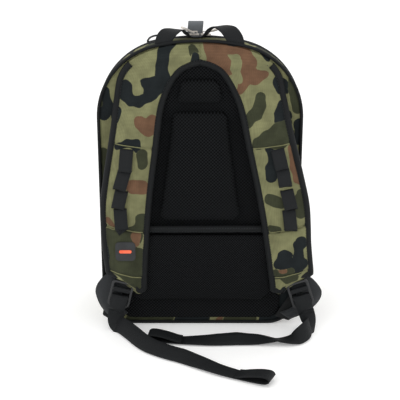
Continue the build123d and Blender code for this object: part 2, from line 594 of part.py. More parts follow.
for side, (sign, drift, buckle_x, tilt) in SIDES.items():
    # The strap's own web is sewn into the pad, comes down behind the upper rim and rounds the loop bar.
    with BuildPart() as pad_web:
        with BuildSketch(profile_plane(side)):
            with BuildLine():
                Polyline(
                    (LOOP_BAR_V + 34.0, PAD_WEB_W),
                    (RIM_TOP - 1.0, PAD_WEB_W),
                    (LOOP_BAR_V + HALF_BAR, WEB_THICKNESS / 2 - LOOP_HALF),
                )
            trace(line_width=WEB_THICKNESS)
            with Locations((LOOP_BAR_V, 0)):
                RectangleRounded(BAR_HEIGHT + 2 * (LOOP_CLEARANCE + WEB_THICKNESS), 2 * LOOP_HALF, 2.0)
                Rectangle(
                    BAR_HEIGHT + 2 * LOOP_CLEARANCE,
                    BAR_THICKNESS + 2 * LOOP_CLEARANCE,
                    mode=Mode.SUBTRACT,
                )
        extrude(amount=WEB_WIDTH)
    save(pad_web, f"{side}_pad_web")

    with BuildPart() as strap_pad:
        extrude(strap_sketch(side, 0), amount=MAX_SIZE, both=True)
        extrude(strap_profile.sketch, amount=MAX_SIZE, mode=Mode.INTERSECT)
        add(buckle_swing(side), mode=Mode.SUBTRACT)
        add(pad_web.part, mode=Mode.SUBTRACT)
    save(strap_pad, f"{side}_strap_pad")

    with BuildPart() as lower_panel:
        extrude(strap_sketch(side, STRAP_FRONT_Y), amount=LOWER_PANEL_THICKNESS)
        top_z, low_z = (strap_point(side, (0, share))[1] for share in LOWER_PANEL_SHARES)
        with Locations((0, STRAP_FRONT_Y, (top_z + low_z) / 2)):
            Box(MAX_SIZE, MAX_SIZE, top_z - low_z, mode=Mode.INTERSECT)
    save(lower_panel, f"{side}_lower_panel")

    # The daisy chain is one web, sewn down at four places, that stands off between them.
    stops = [strap_middle(side, share) for share in DAISY_SHARES]
    lie_y = STRAP_FRONT_Y - WEB_THICKNESS / 2
    high_y = lie_y - DAISY_GAP
    points = []
    for (_, z_high), (_, z_low) in zip(stops, stops[1:]):
        run = z_high - z_low
        points += [(lie_y, z_high), (lie_y, z_high - 0.12 * run), (high_y, z_high - 0.3 * run)]
        points += [(high_y, z_low + 0.3 * run), (lie_y, z_low + 0.12 * run)]
    points.append((lie_y, stops[-1][1] + 1.0))
    lean = atan2(stops[0][0] - stops[-1][0], stops[0][1] - stops[-1][1])
    web_place = Location((stops[-1][0], 0, stops[-1][1]), (0, degrees(lean), 0))
    with BuildPart() as daisy_blank:
        with BuildSketch(Plane.YZ.offset(-DAISY_WIDTH / 2)):
            with BuildLine():
                Polyline(*[(y, z - stops[-1][1]) for y, z in points])
            trace(line_width=WEB_THICKNESS)
        extrude(amount=DAISY_WIDTH)
    with BuildPart() as daisy_chain:
        add(daisy_blank.part.moved(web_place))
        add(lower_panel.part, mode=Mode.SUBTRACT)
    save(daisy_chain, f"{side}_daisy_chain")

    # Ladder-lock buckle: a rim, a loop bar for the strap's own web and a grip bar for the adjuster.
    plane = buckle_plane(side)
    with BuildPart() as buckle:
        with BuildSketch(plane.offset(-BUCKLE_THICKNESS / 2)):
            RectangleRounded(BUCKLE_WIDTH, BUCKLE_HEIGHT, 6.0)
            RectangleRounded(
                BUCKLE_WIDTH - 2 * BUCKLE_RIM,
                BUCKLE_HEIGHT - 2 * BUCKLE_RIM,
                3.0,
                mode=Mode.SUBTRACT,
            )
        extrude(amount=BUCKLE_THICKNESS)
        rims = buckle.faces().sort_by(Axis.Y)
        fillet(rims[0].edges() + rims[-1].edges(), radius=0.9)
        with BuildSketch(plane.offset(-HALF_BAR)):
            for bar_v in (LOOP_BAR_V, GRIP_BAR_V):
                with Locations((0, bar_v)):
                    Rectangle(BUCKLE_WIDTH - 2 * BUCKLE_RIM + 1.0, BAR_HEIGHT)
        extrude(amount=BAR_THICKNESS)
    save(buckle, f"{side}_buckle")

    # The adjuster web comes forward between the bars, over the grip bar and back behind the rim.
    front_w = HALF_BAR + LOOP_CLEARANCE + WEB_THICKNESS / 2
    over_v = BAR_HEIGHT / 2 + LOOP_CLEARANCE + WEB_THICKNESS / 2
    with BuildPart() as adjuster_wrap:
        with BuildSketch(profile_plane(side)):
            with BuildLine():
                Polyline(
                    (GRIP_BAR_V + over_v, WRAP_BACK_W),
                    (GRIP_BAR_V + over_v, front_w),
                    (GRIP_BAR_V - over_v, front_w),
                    (GRIP_BAR_V - over_v, WRAP_BACK_W),
                    (WRAP_END_V, WRAP_BACK_W),
                )
            trace(line_width=WEB_THICKNESS)
        extrude(amount=WEB_WIDTH)
    save(adjuster_wrap, f"{side}_adjuster_wrap")
    hinge = plane.from_local_coords((0, LOOP_BAR_V, 0))
    print(f"{side} buckle hinge at {hinge}, axis {plane.x_dir}")

    # Slack stretch of the adjuster web, from behind the buckle out and down to the bag's corner.
    slack_points = [
        (buckle_x + 5.0, 55.0),
        (buckle_x + 12.0, 62.0),
        (buckle_x + 19.0, 72.0),
        (buckle_x + 27.0, 70.0),
        (buckle_x + 31.0, 56.0),
        (buckle_x + 24.0, 36.0),
        (0.5 * (buckle_x + ANCHOR_X) + 9.0, 19.0),
        (ANCHOR_X, 11.0),
    ]
    with BuildPart() as adjuster_web:
        with BuildSketch(Plane.XZ.offset(-SLACK_Y)):
            with BuildLine():
                Spline(*[(sign * x, z) for x, z in slack_points])
            trace(line_width=WEB_THICKNESS)
        extrude(amount=WEB_WIDTH, dir=(sign * cos(SLACK_YAW), sin(SLACK_YAW), 0))
    save(adjuster_web, f"{side}_adjuster_web")

# ================================================================ badge on the left strap
badge_x, badge_z = strap_middle("left", 0.235)
BADGE_Y = STRAP_FRONT_Y - LOWER_PANEL_THICKNESS
with BuildPart() as badge:
    with BuildSketch(Plane.XZ.offset(-BADGE_Y)):
        with Locations((badge_x, badge_z)):
            RectangleRounded(BADGE_SIZE, BADGE_SIZE, 6.0)
    extrude(amount=BADGE_THICKNESS)
save(badge, "left_badge")
with BuildPart() as badge_bar:
    with BuildSketch(Plane.XZ.offset(-BADGE_Y + BADGE_THICKNESS)):
        with Locations((badge_x, badge_z)):
            SlotOverall(BADGE_SIZE * 0.62, 5.0)
    extrude(amount=0.8)
save(badge_bar, "left_badge_bar")

# ================================================================ anchors at the bottom corners
for side, (sign, *_rest) in SIDES.items():
    corner_x = PACK_WIDTH / 2
    with BuildPart() as anchor_tab:
        with BuildSketch(Plane.XZ.offset(-REAR_Y + 2 * PIPING_RADIUS + 0.2)):
            with BuildLine():
                Polyline(
                    (sign * (corner_x - 34.0), 14.0),
                    (sign * (corner_x - 7.0), 58.0),
                    (sign * (corner_x + 2.0), 16.0),
                    (sign * (corner_x - 12.0), 6.0),
                    close=True,
                )
            make_face()
        extrude(amount=ANCHOR_THICKNESS)
    save(anchor_tab, f"{side}_anchor_tab")

# ================================================================ top handle and grab tab
HANDLE_Y = REAR_Y + 1.0
handle_base = crown_z(HANDLE_HALF_SPAN, REAR_Y) + HANDLE_ROOT_RISE
handle_low = crown_z(0, REAR_Y) + HANDLE_THICKNESS / 2 + 1.0
with BuildPart() as haul_handle:
    with BuildSketch(Plane.XZ.offset(-(HANDLE_Y + WEB_WIDTH))):
        with BuildLine():
            peak_z = handle_base + HANDLE_RISE
            Spline(
                (-HANDLE_HALF_SPAN, handle_base),
                (-0.87 * HANDLE_HALF_SPAN, handle_base + 0.7 * HANDLE_RISE),
                (-0.56 * HANDLE_HALF_SPAN, peak_z),
                (-0.25 * HANDLE_HALF_SPAN, handle_low + 0.33 * (peak_z - handle_low)),
                (0, handle_low),
                (0.25 * HANDLE_HALF_SPAN, handle_low + 0.33 * (peak_z - handle_low)),
                (0.56 * HANDLE_HALF_SPAN, peak_z),
                (0.87 * HANDLE_HALF_SPAN, handle_base + 0.7 * HANDLE_RISE),
                (HANDLE_HALF_SPAN, handle_base),
            )
        trace(line_width=HANDLE_THICKNESS)
    extrude(amount=WEB_WIDTH)
    body_between(REAR_Y - 20.0, MAIN_SEAM_Y, mode=Mode.SUBTRACT)
save(haul_handle, "haul_handle")

TAB_BACK_Y = MAIN_FRONT_EDGE + 6.0
with BuildPart() as grab_tab:
    with BuildSketch(Plane.YZ.offset(TAB_X - WEB_WIDTH / 2)):
        foot_back = top_at(TAB_BACK_Y) + TAB_LIFT
        foot_front = top_at(TAB_BACK_Y + TAB_DEPTH) + TAB_LIFT
        with BuildLine():
            FilletPolyline(
                (TAB_BACK_Y, foot_back),
                (TAB_BACK_Y, foot_back + TAB_HEIGHT),
                (TAB_BACK_Y + TAB_DEPTH, foot_back + TAB_HEIGHT),
                (TAB_BACK_Y + TAB_DEPTH, foot_front),
                radius=6.0,
            )
        trace(line_width=HANDLE_THICKNESS)
    extrude(amount=WEB_WIDTH)
save(grab_tab, "grab_tab")

# ================================================================ front pocket with a straight zip
POCKET_Y = FRONT_Y + POCKET_DEPTH


def build_pocket(low_z, high_z):
    """Part of the pocket's bulged shell in the open builder, between two heights, open at the back."""
    with BuildSketch(Plane.XZ.offset(-FRONT_Y)) as shape:
        with Locations((0, (POCKET_BASE_Z + POCKET_TOP_Z) / 2)):
            RectangleRounded(2 * POCKET_HALF, POCKET_TOP_Z - POCKET_BASE_Z, POCKET_ROUND)
    extrude(shape.sketch, amount=-POCKET_DEPTH)
    with BuildSketch(Plane.XZ.offset(-FRONT_Y)) as hollow:
        with Locations((0, (POCKET_BASE_Z + POCKET_TOP_Z) / 2)):
            RectangleRounded(
                2 * (POCKET_HALF - POCKET_WALL),
                POCKET_TOP_Z - POCKET_BASE_Z - 2 * POCKET_WALL,
                POCKET_ROUND - POCKET_WALL,
            )
    extrude(hollow.sketch, amount=-(POCKET_DEPTH - POCKET_WALL), mode=Mode.SUBTRACT)
    with Locations((0, FRONT_Y, (low_z + high_z) / 2)):
        Box(MAX_SIZE, MAX_SIZE, high_z - low_z, mode=Mode.INTERSECT)


with BuildPart() as pocket_panel:
    build_pocket(POCKET_BASE_Z, POCKET_ZIP_Z - ZIP_HALF_OPENING)
save(pocket_panel, "pocket_panel")
with BuildPart() as pocket_hood:
    build_pocket(POCKET_ZIP_Z + ZIP_HALF_OPENING, POCKET_TOP_Z)
save(pocket_hood, "pocket_hood")

for name, sign in (("lower", -1), ("upper", 1)):
    with BuildPart() as pocket_tape:
        coil_z = POCKET_ZIP_Z + sign * (COIL_GAP + COIL_WIDTH) / 2
        tape_z = POCKET_ZIP_Z + sign * (COIL_GAP / 2 + COIL_WIDTH + TAPE_WIDTH / 2)
        with Locations((0, POCKET_Y - TAPE_THICKNESS / 2, tape_z)):
            Box(2 * POCKET_HALF - 2.0, TAPE_THICKNESS, TAPE_WIDTH)
        with Locations((0, POCKET_Y + COIL_PROUD - COIL_HEIGHT / 2, coil_z)):
            Box(2 * POCKET_HALF - 2.0, COIL_HEIGHT, COIL_WIDTH)
    save(pocket_tape, f"pocket_zip_{name}_tape")

pocket_place = Location((POCKET_SLIDER_X, POCKET_Y, POCKET_ZIP_Z), (-90, 0, 0))
with BuildPart() as slider_blank:
    build_slider()
with BuildPart() as pocket_slider:
    add(slider_blank.part.moved(pocket_place))
save(pocket_slider, "pocket_slider")
with BuildPart() as pull_blank:
    build_pull()
pocket_pin = pocket_place * Location((0, 0, PIN_HEIGHT), (0, 84, 0))
with BuildPart() as pocket_pull:
    add(pull_blank.part.moved(pocket_pin))
save(pocket_pull, "pocket_pull")
print("pocket pull pin", pocket_pin.position)

# ================================================================ loose tails of the adjuster webs
# Routes along the floor are chosen by hand: from where the web comes down to its sewn end loop.
FLOOR_LIE = WEB_THICKNESS / 2 + 1.0
LEFT_TAIL = (
    (-106.0, -131.0, FLOOR_LIE),
    (-82.0, -168.0, FLOOR_LIE),
    (-53.0, -190.0, FLOOR_LIE),
    (-22.0, -206.0, FLOOR_LIE),
    (6.0, -225.0, FLOOR_LIE),
    (30.0, -241.0, FLOOR_LIE),
    (52.0, -251.0, FLOOR_LIE),
)
RIGHT_TAIL = (
    (160.0, -135.0, FLOOR_LIE),
    (142.0, -149.0, FLOOR_LIE),
    (114.0, -150.0, FLOOR_LIE),
    (82.0, -147.0, FLOOR_LIE),
    (46.0, -149.0, FLOOR_LIE),
    (8.0, -150.0, FLOOR_LIE),
    (-26.0, -146.0, FLOOR_LIE),
)
TAIL_GAP = 0.5  # below the end of the web in the buckle, which tips
DROP_REACH = 26.0
LOOP_LENGTH = 52.0
LOOP_HEIGHT = 12.0


def floor_radii(points):
    """The largest arc that each corner's two runs allow."""
    radii = []
    for before, here, after in zip(points, points[1:], points[2:]):
        run_in, run_out = Vector(here) - Vector(before), Vector(after) - Vector(here)
        turn = run_in.get_angle(run_out)
        radii.append(0.45 * min(run_in.length, run_out.length) / tan(radians(turn / 2)))
    return radii


def drop_plane(ends, share):
    """Cross-section plane of the web at a share of its way down from the buckle to the floor."""
    (top, top_dir, top_side), (foot, foot_dir, foot_side) = ends
    controls = (top, top + top_dir * DROP_REACH, foot - foot_dir * DROP_REACH, foot)
    here = Vector(0, 0, 0)
    heading = Vector(0, 0, 0)
    for i, weight in enumerate((1, 3, 3, 1)):
        here += controls[i] * (weight * share**i * (1 - share) ** (3 - i))
    for i, weight in enumerate((3, 6, 3)):
        heading += (controls[i + 1] - controls[i]) * (weight * share**i * (1 - share) ** (2 - i))
    side = top_side * (1 - share) + foot_side * share
    side -= heading * (side.dot(heading) / heading.dot(heading))
    return Plane(origin=here, x_dir=side, z_dir=heading)


for side, floor_route in (("left", LEFT_TAIL), ("right", RIGHT_TAIL)):
    plane = buckle_plane(side)
    radii = floor_radii(floor_route)
    print(f"{side} tail radii", [round(r) for r in radii])
    foot = Vector(floor_route[0])
    foot_dir = (Vector(floor_route[1]) - foot).normalized()
    foot_side = foot_dir.cross(Vector(0, 0, 1))
    if foot_side.dot(plane.x_dir) < 0:
        foot_side = -foot_side
    top = plane.from_local_coords((0, WRAP_END_V - TAIL_GAP, WRAP_BACK_W))
    ends = ((top, -plane.y_dir, plane.x_dir), (foot, foot_dir, foot_side))
    with BuildPart() as tail:
        for step in range(5):
            with BuildSketch(drop_plane(ends, step / 4)):
                Rectangle(WEB_WIDTH, WEB_THICKNESS)
        loft()
        with BuildLine() as path:
            FilletPolyline(*floor_route, radius=radii)
        with BuildSketch(Plane(origin=foot, x_dir=foot_side, z_dir=foot_dir)):
            Rectangle(WEB_WIDTH, WEB_THICKNESS)
        sweep(path=path.line)
    print(f"{side} tail on the floor {path.wires()[0].length:.1f} long, volume {tail.part.volume:.0f}")
    save(tail, f"{side}_tail")

    heading = (Vector(floor_route[-1]) - Vector(floor_route[-2])).normalized()
    across = heading.cross(Vector(0, 0, 1))
    loop_start = Vector(floor_route[-1]) - across * (WEB_WIDTH / 2)
    with BuildPart() as tail_loop:
        with BuildSketch(Plane(origin=loop_start, x_dir=heading, z_dir=across)):
            with BuildLine():
                FilletPolyline(
                    (0, 0),
                    (LOOP_LENGTH, 0),
                    (LOOP_LENGTH, LOOP_HEIGHT),
                    (18.0, 0.6 * LOOP_HEIGHT),
                    (4.0, WEB_THICKNESS + 0.1),
                    radius=4.0,
                )
            trace(line_width=WEB_THICKNESS)
        extrude(amount=WEB_WIDTH)
    save(tail_loop, f"{side}_tail_loop")

print("buckle y", BUCKLE_Y, "slack y", SLACK_Y, "strap front", STRAP_FRONT_Y, "strap back", STRAP_BACK_Y, "yoke z", YOKE_Z)
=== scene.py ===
# %% [markdown]
# # A tackle backpack, seen from the wearer's side
#
# The pack is a soft box of printed cloth with a padded mesh back. A one-piece yoke splits into two
# padded shoulder straps, and each strap ends in a ladder-lock buckle with a web running through it.
# The model of the frame comes first: it fixes every size, so each soft piece below is made to fit it.

# %% Load the frame
import math

import bmesh
import bpy
import numpy as np
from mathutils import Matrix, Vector, noise
from mathutils.bvhtree import BVHTree


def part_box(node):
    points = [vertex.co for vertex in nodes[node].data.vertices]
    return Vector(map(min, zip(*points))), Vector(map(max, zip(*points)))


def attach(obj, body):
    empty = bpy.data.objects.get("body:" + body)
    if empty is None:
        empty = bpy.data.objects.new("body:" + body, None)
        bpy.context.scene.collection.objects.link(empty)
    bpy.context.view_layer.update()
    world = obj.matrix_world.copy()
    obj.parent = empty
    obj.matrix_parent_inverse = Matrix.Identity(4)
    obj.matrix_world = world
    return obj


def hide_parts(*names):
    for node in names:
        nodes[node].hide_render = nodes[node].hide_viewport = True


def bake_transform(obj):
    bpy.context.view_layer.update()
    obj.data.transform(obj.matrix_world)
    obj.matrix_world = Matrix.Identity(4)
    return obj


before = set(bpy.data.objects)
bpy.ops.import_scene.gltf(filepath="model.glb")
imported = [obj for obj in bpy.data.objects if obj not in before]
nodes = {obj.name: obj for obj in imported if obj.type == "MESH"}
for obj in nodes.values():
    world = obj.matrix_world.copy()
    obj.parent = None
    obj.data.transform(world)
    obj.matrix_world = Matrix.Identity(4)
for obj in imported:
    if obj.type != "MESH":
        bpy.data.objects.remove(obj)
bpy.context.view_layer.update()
MM = 0.001
SIDES = ("left", "right")
TO_WEARER = (0, -1, 0)  # the way that the padded back looks


def linked(name, data):
    """A new object in the scene that shows that data."""
    thing = bpy.data.objects.new(name, data)
    bpy.context.collection.objects.link(thing)
    return thing


# %% [markdown]
# ## Camera, floor and light
#
# A long lens a metre and a half away, looking a little down, keeps the straps' proportions true. The
# floor is wide pale paper, and three large soft lights under a bright sky leave only faint shadows, so
# that the dark cloth still shows its weave.

# %% Camera
camera_data = bpy.data.cameras.new("studio_camera")
camera_data.lens = 88.5
camera = linked("studio_camera", camera_data)
camera.location = (0.0, -1.480, 0.680)
camera.rotation_euler = (math.radians(90 - 18.83), 0, 0)
bpy.context.scene.camera = camera

# %% Lights
bpy.context.scene.view_settings.view_transform = "Standard"
world = bpy.data.worlds.new("studio")
world.use_nodes = True
world.node_tree.nodes["Background"].inputs["Color"].default_value = (1, 1, 1, 1)
world.node_tree.nodes["Background"].inputs["Strength"].default_value = 1.0
bpy.context.scene.world = world


def soft_light(name, place, target, size, watts):
    """A square area light that points at a target."""
    data = bpy.data.lights.new(name, "AREA")
    data.size = size
    data.energy = watts
    light = linked(name, data)
    light.location = place
    light.rotation_euler = (Vector(target) - Vector(place)).to_track_quat("-Z", "Y").to_euler()


soft_light("key", (-1.1, -1.6, 1.7), (0, 0, 0.2), 1.2, 5)
soft_light("fill", (1.5, -1.3, 0.9), (0, 0, 0.2), 1.2, 1)
soft_light("top", (0, 0.3, 2.0), (0, 0, 0.2), 1.4, 5)

# %% Small tools for shapes


def smooth_shaded(mesh):
    """Marks every face of a mesh as smooth."""
    mesh.polygons.foreach_set("use_smooth", [True] * len(mesh.polygons))


def mesh_object(name, vertices, faces, uvs=None):
    """A smooth-shaded mesh with its faces pointing outwards."""
    mesh = bpy.data.meshes.new(name)
    mesh.from_pydata([tuple(v) for v in vertices], [], faces)
    if uvs is not None:
        layer = mesh.uv_layers.new(name="UVMap")
        corner_uvs = [uvs[loop.vertex_index] for loop in mesh.loops]
        layer.data.foreach_set("uv", np.array(corner_uvs, float).ravel())
    shape = bmesh.new()
    shape.from_mesh(mesh)
    bmesh.ops.recalc_face_normals(shape, faces=shape.faces)
    shape.to_mesh(mesh)
    shape.free()
    smooth_shaded(mesh)
    return linked(name, mesh)


def travelled(points):
    """How far along a row of points each one is."""
    return np.concatenate([[0], np.cumsum(np.linalg.norm(np.diff(points, axis=0), axis=1))])


def smooth_through(points, step):
    """Equal steps along a smooth line through given points."""
    points = np.array(points, float)
    ends = np.vstack([2 * points[0] - points[1], points, 2 * points[-1] - points[-2]])
    fine = []
    for i in range(len(points) - 1):
        a, b, c, d = ends[i:i + 4]
        t = np.linspace(0, 1, 24, endpoint=False)[:, None]
        fine.append(0.5 * (2 * b + (c - a) * t + (2 * a - 5 * b + 4 * c - d) * t**2
                           + (3 * b - a - 3 * c + d) * t**3))
    fine = np.vstack(fine + [points[-1:]])
    along = travelled(fine)
    count = max(2, round(along[-1] / step) + 1)
    stops = np.linspace(0, along[-1], count)
    return np.column_stack([np.interp(stops, along, fine[:, k]) for k in range(fine.shape[1])])


def unit(vectors):
    """Each row scaled to length 1."""
    return vectors / np.linalg.norm(vectors, axis=-1, keepdims=True)


def square_to(headings, vectors):
    """The vectors turned square to the headings, at length 1."""
    return unit(vectors - headings * np.sum(vectors * headings, axis=1, keepdims=True))


def tube_faces(rows, ring, closed=False):
    """Faces round a tube of rows of ring points, closed on itself or capped at both ends."""
    faces = []
    for i in range(rows if closed else rows - 1):
        j = (i + 1) % rows
        faces += [(i * ring + k, i * ring + (k + 1) % ring, j * ring + (k + 1) % ring, j * ring + k)
                  for k in range(ring)]
    if not closed:
        faces += [tuple(range(ring)), tuple((rows - 1) * ring + k for k in range(ring))]
    return faces


def swept(name, centres, normals, section, closed=False):
    """Sweeps a closed cross-section of (across, up) points along centres, with up along normals.
    The piece's own UV map runs round the section and along the length, in metres."""
    centres = np.array(centres, float)
    if closed:
        headings = unit(np.roll(centres, -1, axis=0) - np.roll(centres, 1, axis=0))
    else:
        headings = unit(np.gradient(centres, axis=0))
    ups = square_to(headings, np.broadcast_to(np.array(normals, float), centres.shape))
    sides = np.cross(headings, ups)
    section = np.array(section, float)
    rows, ring = len(centres), len(section)
    vertices = (centres[:, None] + sides[:, None] * section[None, :, :1]
                + ups[:, None] * section[None, :, 1:]).reshape(-1, 3)
    length, around = travelled(centres), travelled(section)
    uvs = [(around[k], length[i]) for i in range(rows) for k in range(ring)]
    return mesh_object(name, vertices, tube_faces(rows, ring, closed), uvs)


def web_section(width, thickness):
    """Cross-section of a woven web: flat, with soft edges."""
    w, t = width / 2, thickness / 2
    e = min(0.7 * t, 0.25 * w)
    top = [(-w + e, t), (-w / 3, t), (w / 3, t), (w - e, t)]
    low = [(w - e, -t), (w / 3, -t), (-w / 3, -t), (-w + e, -t)]
    return top + [(w, 0.35 * t), (w, -0.35 * t)] + low + [(-w, -0.35 * t), (-w, 0.35 * t)]


def round_section(width, thickness, sides=12):
    """An oval cross-section."""
    turns = [2 * math.pi * k / sides for k in range(sides)]
    return [(math.cos(a) * width / 2, math.sin(a) * thickness / 2) for a in turns]


print("shape tools ready")

# %% [markdown]
# ## Finishes
#
# Every finish is a node material named for what the real surface is. Colours are given as hex values and
# turned to linear light by one function. Threads, ribs and holes are worked out from a pitch in
# millimetres: a sine of the position, one full turn for each pitch, is the plainest way to draw them.

# %% Small tools for materials


def linear(hex_colour):
    """A hex colour as the linear light values that shaders use."""
    channels = [int(hex_colour[i:i + 2], 16) / 255 for i in (1, 3, 5)]
    return (*[c / 12.92 if c <= 0.04045 else ((c + 0.055) / 1.055) ** 2.4 for c in channels], 1.0)


def add_node(tree, kind, inputs=None, **settings):
    """Adds one node, with its settings, and its inputs as values or as links."""
    node = tree.nodes.new(kind)
    for name, value in settings.items():
        setattr(node, name, value)
    for socket, value in (inputs or {}).items():
        if isinstance(value, bpy.types.NodeSocket):
            tree.links.new(value, node.inputs[socket])
        else:
            node.inputs[socket].default_value = value
    return node


def new_material(name, colour, roughness, **shader_values):
    """A material, its node tree and its shader, with the values that are the same all over."""
    material = bpy.data.materials.new(name)
    material.use_nodes = True
    shader = material.node_tree.nodes["Principled BSDF"]
    shader.inputs["Base Color"].default_value = linear(colour)
    shader.inputs["Roughness"].default_value = roughness
    for socket, value in shader_values.items():
        shader.inputs[socket.replace("_", " ")].default_value = value
    return material, material.node_tree, shader


def place_of(tree, by_uv=False):
    """The x, y and z of a surface point: in the row frame, or along the piece's own UV map."""
    coordinate = add_node(tree, "ShaderNodeTexCoord").outputs["UV" if by_uv else "Object"]
    return coordinate, add_node(tree, "ShaderNodeSeparateXYZ", {0: coordinate}).outputs


def wave(tree, value, pitch):
    """A sine that makes one full turn every pitch, from -1 to 1."""
    turned = add_node(tree, "ShaderNodeMath", {0: value, 1: 2 * math.pi / pitch}, operation="MULTIPLY")
    return add_node(tree, "ShaderNodeMath", {0: turned.outputs[0]}, operation="SINE").outputs[0]


def combine(tree, operation, a, b):
    """One math node."""
    return add_node(tree, "ShaderNodeMath", {0: a, 1: b}, operation=operation).outputs[0]


def crossed(tree, threads, share, ribs):
    """Threads at a share of their height, added to the ribs that they cross."""
    return add_node(tree, "ShaderNodeMath", {0: threads, 1: share, 2: ribs},
                    operation="MULTIPLY_ADD").outputs[0]


def tint(tree, share, colour_a, colour_b, low=0.0, high=1.0):
    """Goes from colour_a to colour_b as share goes from low to high."""
    ranged = add_node(tree, "ShaderNodeMapRange",
                      {"Value": share, "From Min": low, "From Max": high}).outputs[0]
    return add_node(tree, "ShaderNodeMix", {0: ranged, 6: colour_a, 7: colour_b},
                    data_type="RGBA").outputs[2]


def bump(tree, shader, height, distance, strength=1.0):
    """Gives the shader a bump from a height between -1 and 1."""
    node = add_node(tree, "ShaderNodeBump",
                    {"Height": height, "Distance": distance, "Strength": strength})
    tree.links.new(node.outputs[0], shader.inputs["Normal"])


print("material tools ready")

# %% [markdown]
# ### Printed camouflage on ribbed polyester
#
# The cloth is taken to be a polyester with fine cross ribs, printed in four colours with sharp edges.
# On the straps and the back wall each print patch is drawn and kept on the mesh as three
# attributes, one for each dark colour; the edge of a patch is where its attribute crosses zero, so it
# stays sharp on a coarse mesh. Elsewhere three slow noises do the same work.

# %% Printed camouflage cloth
KHAKI, OLIVE, BROWN, NAVY = (linear(c) for c in ("#7a7a58", "#383b2b", "#6a4f3c", "#1b2022"))
RIB_PITCH = 1.9 * MM  # coarser than on real cloth, so that the ribs show


def printed_camouflage(name, hand_placed):
    """The printed cloth, with its patches from the mesh's attributes or from three slow noises."""
    material, tree, shader = new_material(name, "#84845f", 0.85, Sheen_Weight=0.02,
                                          Specular_IOR_Level=0.15)
    place, (x, y, z) = place_of(tree)
    colour = KHAKI
    for ink, attribute, seed, cover in ((OLIVE, "olive_print", 3.1, 0.535),
                                        (BROWN, "brown_print", 11.7, 0.565),
                                        (NAVY, "navy_print", 23.9, 0.555)):
        if hand_placed:
            field = add_node(tree, "ShaderNodeAttribute", attribute_name=attribute).outputs["Fac"]
            edge = add_node(tree, "ShaderNodeTexNoise", {"Vector": place, "Scale": 420.0, "Detail": 1.0})
            wobble = combine(tree, "MULTIPLY", edge.outputs[0], 0.0006)
            field = combine(tree, "ADD", field, wobble)
            share = (0.0001, 0.0005)
        else:
            moved = add_node(tree, "ShaderNodeMapping", {"Vector": place, "Location": (seed, seed, seed)})
            slow = add_node(tree, "ShaderNodeTexNoise", {
                "Vector": moved.outputs[0], "Scale": 21.0, "Detail": 1.0, "Roughness": 0.35,
                "Distortion": 0.9})
            field = slow.outputs[0]
            share = (cover, cover + 0.006)
        colour = tint(tree, field, colour, ink, *share)
    ribs = wave(tree, z, RIB_PITCH)
    threads = wave(tree, combine(tree, "ADD", x, y), 1.4 * RIB_PITCH)
    weave = crossed(tree, threads, 0.35, ribs)
    fade = add_node(tree, "ShaderNodeTexNoise", {"Vector": place, "Scale": 60.0, "Detail": 4.0})
    worn = tint(tree, fade.outputs[0], (0.80, 0.80, 0.80, 1), (1.18, 1.18, 1.16, 1), 0.3, 0.7)
    # Painted shade and highlight: the cloth is darker in the rib hollows and lighter on the rib crests.
    shaded = tint(tree, weave, (0.80, 0.80, 0.80, 1), (1.12, 1.12, 1.12, 1), -1.3, 1.3)
    for shade in (worn, shaded):
        colour = add_node(tree, "ShaderNodeMix", {0: 1.0, 6: colour, 7: shade}, data_type="RGBA",
                          blend_type="MULTIPLY").outputs[2]
    tree.links.new(colour, shader.inputs["Base Color"])
    bump(tree, shader, weave, 0.22 * MM, 0.6)
    return material


camo_cloth = printed_camouflage("printed_ribbed_polyester", False)
strap_camo = printed_camouflage("printed_ribbed_polyester_straps", True)
print("camouflage cloth:", len(strap_camo.node_tree.nodes), "nodes")

# %% [markdown]
# ### Black cloth, mesh, webbing and binding
#
# The back is spacer mesh: two knitted faces with rows of small holes over foam. Webbing is woven from
# thick polyester and has cross ribs, and the grosgrain binding is finer. Most are near-black, so their
# ribs and holes show by their bump and by painted shade in the hollows, painted highlight on the crests.

# %% Woven and knitted black finishes


def spacer_mesh(name, pitch):
    """Knitted mesh: staggered holes, painted near-black as shade at their bottom, with lighter threads round
    them.
    """
    material, tree, shader = new_material(name, "#0e0f10", 0.85, Specular_IOR_Level=0.1)
    _, (x, _, z) = place_of(tree)
    open_share = combine(tree, "MULTIPLY", wave(tree, x, pitch), wave(tree, z, pitch))
    # Painted shade: the holes go near-black where shade falls into them.
    colour = tint(tree, open_share, linear("#1b1d1f"), linear("#010101"), -0.3, 0.3)
    tree.links.new(colour, shader.inputs["Base Color"])
    height = combine(tree, "MULTIPLY", open_share, -1.0)
    bump(tree, shader, height, 1.0 * MM, 0.8)
    return material


def woven_black(name, colour, lighter, pitch, by_uv, sheen):
    """Cross ribs and fine length threads, on the piece's own UV map where it has one."""
    material, tree, shader = new_material(name, colour, 0.62, Sheen_Weight=sheen,
                                          Specular_IOR_Level=0.22)
    _, (x, y, z) = place_of(tree, by_uv)
    across, along = (x, y) if by_uv else (x, z)
    ribs = wave(tree, along, pitch)
    threads = wave(tree, across, 0.8 * pitch)
    weave = crossed(tree, threads, 0.5, ribs)
    # Painted shade and highlight: darker in the rib hollows, lighter on the rib crests.
    shade = tint(tree, weave, linear(colour), linear(lighter), -1.2, 1.3)
    tree.links.new(shade, shader.inputs["Base Color"])
    bump(tree, shader, weave, 0.2 * MM, 0.7)
    return material


